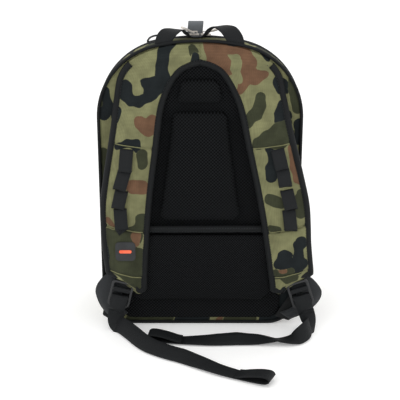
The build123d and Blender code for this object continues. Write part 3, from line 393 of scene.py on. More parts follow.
back_mesh = spacer_mesh("polyester_spacer_mesh_coarse", 5.0 * MM)
sleeve_mesh = spacer_mesh("polyester_spacer_mesh_fine", 4.0 * MM)
black_cloth = woven_black("black_ribbed_polyester", "#0c0d0d", "#17191a", 1.6 * MM, False, 0.0)
webbing = woven_black("polyester_webbing", "#0d0e10", "#1b1e20", 1.5 * MM, True, 0.0)
# The slack webs get a lighter copy of the webbing: painted highlight where the bent web catches the light.
slack_webbing_painted_highlight = woven_black("polyester_webbing_painted_highlight", "#191b1d", "#2f3235", 1.5 * MM, True, 0.1)
grey_webbing = woven_black("polyester_webbing_grey", "#4c5053", "#777b7f", 1.5 * MM, True, 0.05)
node_webbing = woven_black("polyester_webbing_sewn", "#0d0e10", "#1b1e20", 1.5 * MM, False, 0.0)
binding = woven_black("grosgrain_binding", "#090b0c", "#141719", 1.3 * MM, True, 0.0)
zip_tape = woven_black("woven_zip_tape", "#121314", "#222526", 1.2 * MM, False, 0.0)
thread = woven_black("bonded_nylon_thread", "#1d1f21", "#3a3e41", 0.8 * MM, False, 0.05)
print("black finishes:", [m.name for m in (back_mesh, black_cloth, webbing, binding, thread)])

# %% Moulded and metal finishes


def grained(name, colour, roughness, grit, depth, lighter=None, **shader_values):
    """A fine random grain, as a mould or a blasted surface gives."""
    material, tree, shader = new_material(name, colour, roughness, **shader_values)
    place, _ = place_of(tree)
    fine = add_node(tree, "ShaderNodeTexNoise", {"Vector": place, "Scale": 1 / grit, "Detail": 3.0})
    slow = add_node(tree, "ShaderNodeTexNoise", {"Vector": place, "Scale": 90.0, "Detail": 2.0})
    shade = tint(tree, slow.outputs[0], linear(colour), linear(lighter or colour), 0.35, 0.7)
    tree.links.new(shade, shader.inputs["Base Color"])
    rough = add_node(tree, "ShaderNodeMapRange", {
        "Value": fine.outputs[0], "To Min": roughness - 0.06, "To Max": roughness + 0.1})
    tree.links.new(rough.outputs[0], shader.inputs["Roughness"])
    bump(tree, shader, fine.outputs[0], depth, 0.5)
    return material


acetal = grained("moulded_black_acetal", "#17181a", 0.38, 0.9 * MM, 0.06 * MM, "#212325", IOR=1.48)
zinc = grained("plated_zinc_die_casting", "#d6cfc6", 0.38, 1.2 * MM, 0.04 * MM, "#e4ded6", Metallic=0.75)
dark_rubber = grained("moulded_dark_rubber", "#1c1e20", 0.6, 0.7 * MM, 0.08 * MM, "#26292b")
orange_rubber = grained("moulded_orange_rubber", "#f0603a", 0.5, 0.7 * MM, 0.06 * MM, "#ff7550")
nylon_coil = grained("nylon_zip_coil", "#1b1d1e", 0.4, 0.6 * MM, 0.05 * MM, "#2b2e30")
board = grained("polyethylene_sheet", "#232526", 0.5, 1.5 * MM, 0.1 * MM, "#2d2f31")
cord_braid = woven_black("braided_polyester_cord", "#1d1f21", "#3b3f42", 1.4 * MM, False, 0.2)
print("moulded finishes:", [m.name for m in (acetal, zinc, dark_rubber, orange_rubber)])

# %% A pale floor
floor_finish, floor_tree, floor_shader = new_material("studio_paper", "#f4f4f3", 0.9)
grain = add_node(floor_tree, "ShaderNodeTexNoise",
                 {"Vector": place_of(floor_tree)[0], "Scale": 3.0, "Detail": 2.0})
paper = tint(floor_tree, grain.outputs[0], linear("#f2f2f1"), linear("#f7f7f6"), 0.3, 0.7)
floor_tree.links.new(paper, floor_shader.inputs["Base Color"])
floor_shader.inputs["Emission Color"].default_value = (1, 1, 1, 1)
floor_shader.inputs["Emission Strength"].default_value = 0.22
FLOOR_RADIUS = 40
FLOOR_LEVEL = -0.0012  # just under the level that the pack stands on
FLOOR_SIDES = 48
rim = [(FLOOR_RADIUS * math.cos(a), FLOOR_RADIUS * math.sin(a), FLOOR_LEVEL)
       for a in np.linspace(0, 2 * math.pi, FLOOR_SIDES, endpoint=False)]
backdrop = mesh_object("studio_floor", rim, [tuple(range(FLOOR_SIDES))])
backdrop.data.materials.append(floor_finish)
print("floor", round(backdrop.dimensions.x), "m across")

# %% [markdown]
# ## The cloth shells
#
# The walls are soft padded cloth, so a flat-sided solid would look wrong. Each wall starts as a copy of
# its solid in the frame, is rebuilt with even squares by a voxel remesh, and is then moved by a slow
# noise so that it bulges and sinks a little, as cloth over thin foam does. The two walls that join at
# the crease of the opening panel are remeshed and smoothed as one.

# %% Copies of the frame's solids, evened out


def copy_of(name, *node_names):
    """One welded mesh made from copies of the frame's nodes."""
    shape = bmesh.new()
    for node_name in node_names:
        shape.from_mesh(nodes[node_name].data)
    bmesh.ops.remove_doubles(shape, verts=shape.verts, dist=0.00001)
    mesh = bpy.data.meshes.new(name)
    shape.to_mesh(mesh)
    shape.free()
    return linked(name, mesh)


def apply_modifiers(piece):
    """Replaces a piece's mesh with what its modifiers make of it, and removes them."""
    bpy.context.view_layer.update()
    graph = bpy.context.evaluated_depsgraph_get()
    mesh = bpy.data.meshes.new_from_object(piece.evaluated_get(graph))
    piece.modifiers.clear()
    piece.data = mesh
    mesh.name = piece.name
    return piece


def remeshed(piece, voxel, smooth=7):
    """The piece rebuilt from even squares, with its stair steps smoothed away."""
    remesh = piece.modifiers.new("even squares", "REMESH")
    remesh.mode = "VOXEL"
    remesh.voxel_size = voxel
    if smooth:
        relax = piece.modifiers.new("relax", "SMOOTH")
        relax.iterations = smooth
        relax.factor = 0.5
    apply_modifiers(piece)
    smooth_shaded(piece.data)
    return piece


def places(piece):
    """A piece's vertex positions as an array."""
    flat = np.empty(len(piece.data.vertices) * 3)
    piece.data.vertices.foreach_get("co", flat)
    return flat.reshape(-1, 3)


def set_places(piece, positions):
    """Moves a piece's vertices to those positions."""
    piece.data.vertices.foreach_set("co", positions.ravel())
    piece.data.update()


def soft_noise(positions, size, seed):
    """A slow random field, from about -1 to 1, with bumps of that size."""
    return np.array([noise.noise(Vector(p) / size + Vector((seed, 0.7 * seed, 0))) for p in positions])


def wrinkled(piece, depth, size, seed, way=(1, 1, 1)):
    """Moves a piece in and out by a slow field plus a finer one."""
    at = places(piece)
    field = soft_noise(at, size, seed) + 0.4 * soft_noise(at, 0.4 * size, seed + 5)
    normals = np.empty(len(piece.data.vertices) * 3)
    piece.data.vertex_normals.foreach_get("vector", normals)
    pushed = normals.reshape(-1, 3) * np.array(way, float)
    set_places(piece, at + pushed * (depth * field)[:, None])
    return piece


def finished_with(mesh, material):
    """Gives a mesh that one material."""
    mesh.materials.clear()
    mesh.materials.append(material)


def dressed(piece, material, body=None, replaced=()):
    """Gives a piece its finish and its body; a piece with no body is left where it stands in the world."""
    finished_with(piece.data, material)
    if body:
        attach(piece, body)
    else:
        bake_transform(piece)
    if replaced:
        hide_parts(*replaced)
    return piece


# %% Walls of the pack
SHELL_VOXEL = 3.0 * MM
shell_plan = (
    ("back_wall", ("back_panel",), "pack", 0.5, 60, 1.0),
    ("rear_wall", ("rear_gusset",), "pack", 0.7, 45, 2.0),
    ("front_wall", ("front_gusset",), "front_panel", 0.8, 45, 4.0),
    ("front_cover", ("front_face",), "front_panel", 1.2, 70, 5.0),
)
for name, members, body, depth, size, seed in shell_plan:
    wall = wrinkled(remeshed(copy_of(name, *members), SHELL_VOXEL), depth * MM, size * MM, seed)
    dressed(wall, camo_cloth, body, members)
    print(name, len(wall.data.polygons), "squares")

main_wall = wrinkled(remeshed(copy_of("main_wall", "base_tub", "main_gusset"), SHELL_VOXEL),
                     0.8 * MM, 50 * MM, 3.0)
dressed(main_wall, camo_cloth, replaced=("base_tub", "main_gusset"))
print("main_wall", len(main_wall.data.polygons), "squares")

# %% Black liner behind the pads
liner = wrinkled(remeshed(copy_of("back_liner_cloth", "back_liner"), 2.2 * MM, 2), 0.25 * MM, 22 * MM, 6.0)
drawn_down = places(liner)
drawn_down[:, 2] -= 4.5 * MM * np.clip(1 - drawn_down[:, 2] / (40 * MM), 0, 1)
set_places(liner, drawn_down)
dressed(liner, back_mesh, "pack", ("back_liner",))
print("liner", len(liner.data.polygons), "squares")

# %% [markdown]
# ## Padded back
#
# Three mesh pads carry the load: a small one under the neck, a tall one down the spine, and a lower one
# that is also the sleeve for a trolley handle. Foam under tight mesh is fullest in the middle and thins
# towards its stitched edge. Cloth simulation with a little air pressure gives that shape: the solid is
# remeshed, blown up for twenty frames without gravity, and each point's travel is limited.

# %% Pads puffed up by cloth simulation
PUFF_FRAMES = 20


def puffed(piece, voxel, pressure, limit, slim=0.0):
    """Inflates a closed mesh as cloth, with each point moved no further than the limit."""
    remeshed(piece, voxel, 2)
    start = places(piece)
    if slim:
        middle = (start.min(axis=0) + start.max(axis=0)) / 2
        half = (start.max(axis=0) - start.min(axis=0)) / 2
        start = middle + (start - middle) * (1 - slim / np.maximum(half, 2 * slim))
        set_places(piece, start)
    cloth = piece.modifiers.new("air", "CLOTH")
    cloth.settings.use_pressure = True
    cloth.settings.uniform_pressure_force = pressure
    cloth.settings.effector_weights.gravity = 0
    cloth.settings.quality = 5
    cloth.collision_settings.use_collision = False
    scene = bpy.context.scene
    for step in range(1, PUFF_FRAMES + 1):
        scene.frame_set(step)
    apply_modifiers(piece)
    scene.frame_set(1)
    moved = places(piece) - start
    far = np.linalg.norm(moved, axis=1, keepdims=True)
    set_places(piece, start + moved * np.minimum(1, limit / np.maximum(far, 1e-9)))
    finer = piece.modifiers.new("finer", "SUBSURF")
    finer.levels = 1
    finer.render_levels = 1
    return apply_modifiers(piece)


pad_plan = (
    ("upper_mesh_pad", "upper_back_pad", back_mesh, 4.0, 1.6),
    ("middle_mesh_pad", "middle_back_pad", back_mesh, 4.0, 1.8),
    ("sleeve_mesh_pad", "trolley_sleeve", sleeve_mesh, 3.5, 1.6),
)
for name, node, finish, pressure, limit in pad_plan:
    pad = puffed(copy_of(name, node), 4.0 * MM, pressure, limit * MM, 0.8 * MM)
    smooth_shaded(pad.data)
    dressed(pad, finish, "pack", (node,))
    lowest, highest = places(pad).min(axis=0), places(pad).max(axis=0)
    print(name, "is now", [round(v / MM, 1) for v in highest - lowest], "mm")

# %% [markdown]
# ## Yoke and shoulder straps
#
# The yoke and both straps are one padded shape cut from the printed cloth, with a seam down the middle
# of the neck. Each half is built as a long strip: listed stations give the inner and outer edge all
# the way from the neck seam to the buckle, and a crowned cross-section is stretched between them. Sewn
# seams pull the padding down, which is done with a narrow dip in the thickness at each seam.

# %% Stations of a strap, in millimetres: inner x, z and outer x, z
STATIONS = (
    (0, 409, 0, 438.5),
    (13, 406, 38, 436.5),
    (27, 398.5, 72, 428.5),
    (39, 383, 99, 415),
    (48, 364, 116.5, 393),
    (54.5, 342, 123.5, 358),
    (59, 312, 127.5, 325),
    (62, 288, 132, 298),
    (69, 237, 141.5, 243),
    (74, 192, 147, 205),
    (77, 157, 147.5, 172),
    (79.5, 120, 146, 135),
    (81.5, 84, 143, 100),
)
END_CURVE = ((83, 67), (89, 59.5), (95, 59), (98, 64), (100.5, 77), (110, 81), (130, 86.5), (142, 92))
SIDE_WAYS = {"left": (-1, 0.0, 0.0), "right": (1, 0.085, 5.0)}  # sign, drift and shift of the end
SEAMS = ((62, 288, 132, 298), (77, 157, 147.5, 172), (81.5, 84, 143, 100))
COLUMNS = 44
BACK_COLUMNS = 10
SEAM_DIP = 3.6 * MM
DRIFT_TOP = 372  # the drift grows downwards from this height, in millimetres


def strap_grid(side):
    """Rows of x, z across a strap's front, from the neck seam to its end, and each row's seam dip."""
    sign, drift, shift = SIDE_WAYS[side]
    rows = smooth_through(STATIONS, 4.2)
    across = np.linspace(0, 1, COLUMNS)
    inner, outer = rows[:, None, :2], rows[:, None, 2:]
    grid = inner + (outer - inner) * across[None, :, None]
    end = np.array(END_CURVE, float)
    end[:, 0] += shift * np.linspace(0, 1, len(end)) ** 0.3
    share = travelled(end)
    share /= share[-1]
    foot = np.column_stack([np.interp(across, share, end[:, k]) for k in (0, 1)])
    swing = shift * np.clip((150 - grid[..., 1]) / 50, 0, 1) ** 1.5 * across[None, :]
    grid[..., 0] += swing
    last = grid[-1]
    tail = [last + (foot - last) * t for t in np.linspace(0, 1, 9)[1:]]
    grid = np.concatenate([grid, np.array(tail)])
    grid[..., 0] += drift * np.maximum(DRIFT_TOP - grid[..., 1], 0)
    grid[..., 0] *= sign
    return grid * MM


def near_line(grid, start, end):
    """Distance of each grid point from a seam line across the strap."""
    start, end = np.array(start, float) * MM, np.array(end, float) * MM
    way = (end - start) / np.linalg.norm(end - start)
    off = grid - start
    return np.abs(off[..., 0] * -way[1] + off[..., 1] * way[0])


def seam_ends(side, seam):
    """A seam's inner and outer end on that side, in millimetres."""
    sign, drift, _ = SIDE_WAYS[side]
    a, b, c, d = seam
    return tuple((sign * (x + drift * (DRIFT_TOP - z)), z) for x, z in ((a, b), (c, d)))


def ease(value, low, high):
    """0 below low, 1 above high, and smooth between."""
    t = np.clip((value - low) / (high - low), 0, 1)
    return t * t * (3 - 2 * t)


# %% Print patches, drawn as strokes: ink, then x, z and radius in millimetres along each
STROKES = (
    ("navy", (-40, 440, 6), (-52, 427, 8.5), (-55, 408, 8.5), (-54, 388, 12)),
    ("navy", (-51, 396, 6), (-46, 379, 9)),
    ("navy", (-77, 385, 8.5), (-62, 380, 14), (-69, 371, 13)),
    ("navy", (-106, 379, 9.5), (-108, 368, 9), (-99, 361, 9), (-88, 357, 7), (-74, 364, 9)),
    ("khaki", (-92, 394, 5), (-90, 374, 7.5)),
    ("navy", (-121, 344, 7), (-123, 330, 6)),
    ("brown", (-86, 329, 9), (-74, 321, 12), (-70, 331, 8)),
    ("navy", (-120, 292, 5), (-104, 299, 6.5), (-94, 297, 7), (-90, 289, 5)),
    ("olive", (-12, 434, 5), (-9, 428, 7)),
    ("navy", (-7, 424, 5), (-7, 412, 7)),
    ("brown", (8, 440, 4), (19, 432, 11), (24, 418, 14), (38, 406, 13)),
    ("brown", (35, 432, 9), (49, 431, 6.5), (65, 424, 9), (71, 412, 10), (67, 399, 10), (64, 390, 10)),
    ("brown", (66, 392, 9), (80, 393, 10), (91, 397, 7)),
    ("brown", (58, 372, 6), (62, 384, 8)),
    ("khaki", (51, 419, 5.5), (50, 404, 5), (55, 388, 5.5)),
    ("olive", (87, 363, 9), (86, 352, 10), (79, 340, 9), (72, 331, 7), (66, 322, 5)),
    ("navy", (82, 436, 4), (91, 428, 6), (97, 420, 6)),
    ("navy", (113, 383, 9), (119, 376, 10), (127, 371, 6)),
    ("navy", (116, 353, 6), (115, 342, 8), (115, 330, 9), (126, 333, 9)),
    ("olive", (126, 322, 9), (112, 316, 12), (97, 305, 10), (84, 298, 8), (118, 302, 11), (132, 304, 8)),
    ("olive", (-84, 282, 9), (-83, 266, 8)),
    ("brown", (-98, 233, 11), (-84, 231, 11)),
    ("olive", (-88, 184, 8), (-90, 168, 9), (-106, 165, 5)),
    ("brown", (-137, 178, 6), (-130, 172, 5)),
    ("olive", (-120, 146, 20), (-124, 122, 18), (-112, 104, 18), (-97, 122, 14), (-95, 92, 12)),
    ("olive", (-136, 156, 10), (-100, 150, 14)),
    ("brown", (-96, 154, 6.5), (-93, 142, 4)),
    ("olive", (-138, 108, 8), (-100, 84, 9), (-86, 68, 7)),
    ("navy", (98, 289, 5), (107, 281, 8), (106, 262, 9), (104, 247, 8.5)),
    ("khaki", (88, 274, 7), (91, 257, 5), (94, 246, 3)),
    ("brown", (134, 288, 7), (139, 262, 7), (144, 243, 6)),
    ("olive", (101, 213, 8), (112, 209, 9), (120, 206, 7)),
    ("olive", (147, 222, 6), (149, 212, 4)),
    ("olive", (107, 165, 6), (115, 166, 6.5)),
    ("navy", (127, 123, 11), (127, 108, 13), (141, 102, 9), (154, 110, 9)),
    ("navy", (152, 148, 7.5), (154, 142, 7)),
    ("olive", (118, 94, 8), (132, 89, 9), (145, 88, 5)),
    ("olive", (104, 72, 6), (98, 84, 5)),
    ("navy", (-142, 366, 11), (-139, 346, 14), (-140, 334, 9)),
    ("olive", (-146, 366, 4), (-147, 350, 4)),
    ("navy", (-128, 424, 5), (-120, 414, 4)),
    ("olive", (-143, 276, 8), (-145, 250, 9), (-146, 215, 8)),
    ("brown", (-148, 190, 6), (-147, 172, 5)),
    ("navy", (-147, 150, 8), (-147, 120, 9), (-146, 90, 8)),
    ("navy", (124, 421, 4), (129, 405, 4)),
    ("olive", (136, 398, 9), (139, 372, 11), (143, 345, 9)),
    ("navy", (144, 320, 8), (146, 296, 9)),
    ("brown", (148, 262, 7), (149, 240, 6)),
    ("olive", (147, 215, 8), (148, 190, 8)),
    ("navy", (148, 140, 8), (147, 100, 9)),
    ("olive", (-110, 6, 8), (-70, 4, 9), (-48, 8, 8)),
    ("navy", (-30, 5, 9), (5, 6, 10)),
    ("olive", (48, 4, 10), (80, 6, 8)),
    ("navy", (100, 8, 8), (125, 10, 9)),
    ("brown", (28, 3, 5), (34, 9, 4)),
    ("olive", (112, 91, 8), (126, 94, 8), (138, 99, 6)),
    ("brown", (121, 98, 3.5), (128, 100, 3.5)),
    ("navy", (133, 66, 10), (138, 44, 14), (130, 22, 14)),
    ("navy", (-136, 60, 12), (-134, 34, 14)),
)


INKS = ("olive", "brown", "navy")
MELT = 8.0  # millimetres over which the parts of a stroke melt into each other


def inside_stroke(at, stops):
    """How far inside a stroke of changing width each point is, in millimetres."""
    inside = np.full(len(at), -1000.0)
    for (ax, az, ar), (bx, bz, br) in zip(stops, stops[1:]):
        run = np.array((bx - ax, bz - az), float)
        share = np.clip((at - (ax, az)) @ run / (run @ run), 0, 1)
        reach = ar + (br - ar) * share - np.linalg.norm(at - (ax, az) - share[:, None] * run, axis=1)
        blend = np.clip(0.5 + (reach - inside) / MELT, 0, 1)
        inside = inside + (reach - inside) * blend + MELT / 2 * blend * (1 - blend)
    return inside


def print_fields(flat):
    """For each x, z in metres, how far inside each dark ink the point is: over 0 is inked."""
    wobble = np.array([(noise.noise(Vector((x, 0.3, z)) * 60), noise.noise(Vector((z, 1.7, x)) * 60))
                       for x, z in flat])
    at = flat / MM + 3.2 * wobble
    fields = {ink: np.full(len(flat), -20.0) for ink in INKS}
    for ink, *stops in STROKES:
        inside = inside_stroke(at, stops)
        for other in fields:
            if other == ink:
                fields[other] = np.maximum(fields[other], inside)
            else:
                fields[other] = np.minimum(fields[other], -inside)
    return {ink: values * MM for ink, values in fields.items()}


def keep_ink(piece, ink, values):
    """Keeps how far inside one ink each of a piece's points is."""
    layer = piece.data.attributes.new(f"{ink}_print", "FLOAT", "POINT")
    layer.data.foreach_set("value", values.astype(np.float32))


def add_print(piece):
    """Keeps the given print on a piece's points."""
    for ink, values in print_fields(places(piece)[:, (0, 2)]).items():
        keep_ink(piece, ink, values)


print(len(STROKES), "print strokes")
back_wall = bpy.data.objects["back_wall"]
add_print(back_wall)
back_wall.data.materials[0] = strap_camo

# %% Padded strap halves
STRAP_BACK = -97.0 * MM
YOKE_BACK = -83.3 * MM
FULL = 11.5 * MM


def strap_back_y(z):
    """Back face of the padding: flat on the yoke, then standing off the pack."""
    return YOKE_BACK + (STRAP_BACK - YOKE_BACK) * (1 - ease(z, 306 * MM, 374 * MM))


def strap_front_y(side, grid):
    """Front face of the padding: crowned, thin along its edges and dipped at each seam."""
    across = np.linspace(0, 1, grid.shape[1])[None, :]
    width = np.linalg.norm(grid[:, -1] - grid[:, 0], axis=1)[:, None]
    from_edge = width * np.minimum(across, 1 - across)
    crown = ease(from_edge, 4 * MM, 24 * MM) ** 0.8
    edge = 5.0 * MM
    thick = edge + (FULL + 1.0 * MM - edge) * crown
    dip = np.exp(-(grid[..., 0] / (3.2 * MM)) ** 2)
    for seam in SEAMS[:2]:
        ends = seam_ends(side, seam)
        dip = np.maximum(dip, np.exp(-(near_line(grid, *ends) / (3.0 * MM)) ** 2))
    thick -= SEAM_DIP * dip * (0.35 + 0.65 * crown)
    low = ease(-grid[..., 1], -84 * MM, -60 * MM)
    thick -= 2.5 * MM * low * crown
    at_piping = ease(grid[..., 1], 0.372, 0.425) * ease(across, 0.35, 1.0)
    thick -= 3.2 * MM * at_piping
    folds = np.array([[noise.noise(Vector((x, 0, z)) * 28) + 0.5 * noise.noise(Vector((x, 5, z)) * 75)
                       for x, z in row] for row in grid])
    return strap_back_y(grid[..., 1]) - thick - 0.9 * MM * folds * (0.3 + crown)


strap_grids = {}
strap_fronts = {}
straps = {}
for side in SIDES:
    grid = strap_grid(side)
    front_y = strap_front_y(side, grid)
    back_share = np.linspace(1, 0, BACK_COLUMNS + 2)
    picks = np.round(back_share * (COLUMNS - 1)).astype(int)
    ring_rows = []
    for row in range(len(grid)):
        front = np.column_stack([grid[row, :, 0], front_y[row], grid[row, :, 1]])
        back_xz = grid[row, picks]
        lift = 1.2 * MM * np.clip(np.abs(2 * back_share - 1), 0, 1) ** 4
        back = np.column_stack([back_xz[:, 0], strap_back_y(back_xz[:, 1]) - lift, back_xz[:, 1]])
        ring_rows.append(np.concatenate([front, back]))
    rings = np.array(ring_rows)
    strap = mesh_object(f"{side}_padded_strap", rings.reshape(-1, 3), tube_faces(*rings.shape[:2]))
    add_print(strap)
    strap_grids[side] = grid
    strap_fronts[side] = np.dstack([grid[..., 0], front_y, grid[..., 1]])
    straps[side] = strap
    print(strap.name, len(strap.data.polygons), "faces")


for side, strap in straps.items():
    members = (f"{side}_strap_pad",) + (("yoke",) if side == "left" else ())
    dressed(strap, strap_camo, replaced=members)

front_faces = {side: BVHTree.FromObject(strap, bpy.context.evaluated_depsgraph_get())
               for side, strap in straps.items()}


def on_front(side, x, z):
    """The y of a strap's front at x, z in metres."""
    hit = front_faces[side].ray_cast(Vector((x, -0.3, z)), Vector((0, 1, 0)))[0]
    return hit.y if hit else None


# %% Binding round the straps
BINDING_WIDTH = 11.0 * MM
BINDING_INSET = 4.2 * MM
OUTER_START = 98 * MM  # the outer edge is bound only from this far out


def edge_line(side, which):
    """Centres and in-plane directions along one edge of a strap, a little inside its rim."""
    fronts = strap_fronts[side]
    index, inner = (0, 4) if which == "inner" else (-1, -5)
    rim, inside = fronts[:, index], fronts[:, inner]
    inward = unit((inside - rim) * np.array([1, 0, 1]))
    back = strap_back_y(rim[:, 2])
    middle = rim.copy()
    middle[:, 1] = (rim[:, 1] + back) / 2
    return middle + inward * BINDING_INSET, inward


for side in SIDES:
    fronts = strap_fronts[side]
    inner, outer = (edge_line(side, which)[0] for which in ("inner", "outer"))
    low = fronts[-1, 1:-1]
    low_mid = low.copy()
    low_mid[:, 1] = (low[:, 1] + strap_back_y(low[:, 2])) / 2
    low_in = unit((fronts[-4, 1:-1] - low) * np.array([1, 0, 1]))
    start = np.argmax(np.abs(outer[:, 0]) > OUTER_START)
    line = np.concatenate([inner, (low_mid + low_in * BINDING_INSET)[2:-2], outer[start:][::-1]])
    keep = [0]
    for i in range(1, len(line)):
        if np.linalg.norm(line[i] - line[keep[-1]]) > 2.4 * MM:
            keep.append(i)
    line = smooth_through(line[keep][::2], 3.0 * MM)
    section = round_section(BINDING_WIDTH, 10.0 * MM, 14)
    band = swept(f"{side}_strap_binding", line, TO_WEARER, section)
    dressed(band, binding)
    print(band.name, len(line), "sections")

# %% [markdown]
# ## Sewn details
#
# Stitches, bar tacks and zip coils all repeat one small shape along a line. Geometry Nodes do that: the
# line is resampled at the stitch spacing, a small oval is set on each point and turned along the line,
# and the result is realised and baked to a plain mesh.

# %% Repeat a small oval along a line
repeat_tree = bpy.data.node_groups.new("repeat_along_line", "GeometryNodeTree")
repeat_sockets = {}
for label, kind, way in (("Line", "NodeSocketGeometry", "INPUT"), ("Spacing", "NodeSocketFloat", "INPUT"),
                         ("Size", "NodeSocketVector", "INPUT"), ("Finish", "NodeSocketMaterial", "INPUT"),
                         ("Result", "NodeSocketGeometry", "OUTPUT")):
    repeat_sockets[label] = repeat_tree.interface.new_socket(label, in_out=way, socket_type=kind)
given = add_node(repeat_tree, "NodeGroupInput").outputs
as_curve = add_node(repeat_tree, "GeometryNodeMeshToCurve", {"Mesh": given["Line"]})
spaced = add_node(repeat_tree, "GeometryNodeResampleCurve", {
    "Curve": as_curve.outputs[0], "Length": given["Spacing"]}, mode="LENGTH")
oval = add_node(repeat_tree, "GeometryNodeMeshIcoSphere", {"Radius": 0.5, "Subdivisions": 1})
along_line = add_node(repeat_tree, "GeometryNodeInputTangent")
turned = add_node(repeat_tree, "FunctionNodeAlignRotationToVector",
                  {"Vector": along_line.outputs[0]}, axis="X")
stitched = add_node(repeat_tree, "GeometryNodeInstanceOnPoints", {
    "Points": spaced.outputs[0], "Instance": oval.outputs[0], "Rotation": turned.outputs[0],
    "Scale": given["Size"]})
real = add_node(repeat_tree, "GeometryNodeRealizeInstances", {"Geometry": stitched.outputs[0]})
finished = add_node(repeat_tree, "GeometryNodeSetMaterial", {
    "Geometry": real.outputs[0], "Material": given["Finish"]})
add_node(repeat_tree, "NodeGroupOutput", {"Result": finished.outputs[0]})


def repeated(name, lines, spacing, size, finish):
    """Small ovals of that size (along, across, up) at a spacing along one or more lines."""
    mesh = bpy.data.meshes.new(name)
    points, edges = [], []
    for line in lines:
        edges += [(len(points) + i, len(points) + i + 1) for i in range(len(line) - 1)]
        points += [tuple(p) for p in line]
    mesh.from_pydata(points, edges, [])
    piece = linked(name, mesh)
    repeat = piece.modifiers.new("repeat", "NODES")
    repeat.node_group = repeat_tree
    for label, value in (("Spacing", spacing), ("Size", size), ("Finish", finish)):
        repeat[repeat_sockets[label].identifier] = value
    apply_modifiers(piece)
    smooth_shaded(piece.data)
    return piece


print("repeat tree has", len(repeat_tree.nodes), "nodes")

# %% Stitches along the straps' bindings
STITCH = (3.0 * MM, 0.8 * MM, 0.7 * MM)
for side in SIDES:
    rows = []
    for which in ("inner", "outer"):
        line, inward = edge_line(side, which)
        start = 0 if which == "inner" else np.argmax(np.abs(line[:, 0]) > OUTER_START)
        seat = line[start:] + inward[start:] * 3.0 * MM
        seat = smooth_through(seat[::3], 4 * MM)
        seat[:, 1] -= 4.6 * MM
        rows.append(seat)
    stitches = repeated(f"{side}_binding_stitches", rows, 4.2 * MM, STITCH, thread)
    dressed(stitches, thread)
    print(stitches.name, len(stitches.data.polygons), "faces")

# %% Folded seams across the straps and the lower panels


def front_line(side, points, proud):
    """Points x, z in millimetres laid on a strap's front, standing proud of it."""
    line = smooth_through(np.array(points, float) * MM, 2.5 * MM)
    depth = [on_front(side, x, z) for x, z in line]
    known = [d for d in depth if d is not None]
    return np.array([(x, (d if d is not None else known[0]) - proud, z)
                     for (x, z), d in zip(line, depth)])


UNPRINTED = -0.02
for side in SIDES:
    body = f"{side}_strap"
    for number, seam in enumerate(SEAMS, 1):
        (ax, az), (bx, bz) = seam_ends(side, seam)
        a, b = np.array((ax, az)), np.array((bx, bz))
        fold_line = front_line(side, [a + (b - a) * t for t in (0.12, 0.5, 0.88)], 0.3 * MM)
        fold = swept(f"{side}_seam_fold_{number}", fold_line, TO_WEARER, web_section(1.5 * MM, 1.0 * MM))
        for ink in INKS:
            keep_ink(fold, ink, np.full(len(fold.data.vertices), UNPRINTED))
        dressed(fold, strap_camo, body)
    grid, fronts = strap_grids[side], strap_fronts[side]
    top_row = next(i for i, row in enumerate(grid) if row[COLUMNS // 2, 1] < 164 * MM)
    low_row = next(i for i, row in enumerate(grid) if row[COLUMNS // 2, 1] < 93 * MM)
    patch = fronts[top_row:low_row, 4:-4]
    rows, columns = patch.shape[:2]
    over = patch - np.array((0, 1.2 * MM, 0))
    under = patch + np.array((0, 0.8 * MM, 0))
    points = np.concatenate([over.reshape(-1, 3), under.reshape(-1, 3)])
    half = rows * columns
    faces = []
    for i in range(rows - 1):
        for k in range(columns - 1):
            quad = (i * columns + k, i * columns + k + 1, (i + 1) * columns + k + 1, (i + 1) * columns + k)
            faces += [quad, tuple(q + half for q in reversed(quad))]
    border = [k for k in range(columns)] + [i * columns + columns - 1 for i in range(1, rows)]
    border += [(rows - 1) * columns + k for k in range(columns - 2, -1, -1)]
    border += [i * columns for i in range(rows - 2, 0, -1)]
    faces += [(a, b, b + half, a + half) for a, b in zip(border, border[1:] + border[:1])]
    panel = mesh_object(f"{side}_lower_strap_panel", points, faces)
    add_print(panel)
    dressed(panel, strap_camo, body, (f"{side}_lower_panel",))
    print(panel.name, len(panel.data.polygons), "faces")

# %% Daisy chains of webbing, sewn down at intervals
DAISIES = {
    # each loop of web: x and z in millimetres where it starts and where it is tacked down
    "left": ((-106, 290, -109, 258), (-110, 257, -118, 231), (-115, 227, -121, 202), (-118, 199, -116, 167)),
    "right": ((112, 290, 119, 262), (120, 260, 125, 236), (127, 228, 134, 201), (131, 197, 135, 167)),
}
# the arch of one loop: share of the way down, then how far it stands off the strap in millimetres
ARCH = ((0.0, 0.6), (0.06, 2.4), (0.3, 5.0), (0.65, 6.6), (0.92, 6.8), (1.02, 5.0), (1.03, 2.8), (0.98, 0.8))
for side, loops in DAISIES.items():
    body = f"{side}_strap"
    for index, (x_top, z_top, x_end, z_end) in enumerate(loops):
        stops = []
        for share, off in ARCH:
            x = x_top + (x_end - x_top) * share
            z = z_top + (z_end - z_top) * share
            stops.append((x * MM, on_front(side, x * MM, z * MM) - off * MM, z * MM))
        chain = swept(f"{side}_daisy_loop_{index + 1}", smooth_through(stops, 1.6 * MM), (0, -1, 0.1),
                      web_section(19.5 * MM, 1.4 * MM))
        dressed(chain, webbing, body, (f"{side}_daisy_chain",) if index == 0 else ())
    bars = []
    for x_top, z_top, x_end, z_end in loops:
        for x, z in ((x_top, z_top - 1.0), (x_end, z_end - 1.5)):
            y = on_front(side, x * MM, z * MM) - 1.2 * MM
            bars.append([((x - 9.5) * MM, y, z * MM), ((x + 9.5) * MM, y, z * MM)])
    sewn = repeated(f"{side}_daisy_tacks", bars, 1.5 * MM, (1.3 * MM, 1.6 * MM, 0.9 * MM), thread)
    dressed(sewn, thread, body)
    print(body, "with", len(loops), "loops of web")

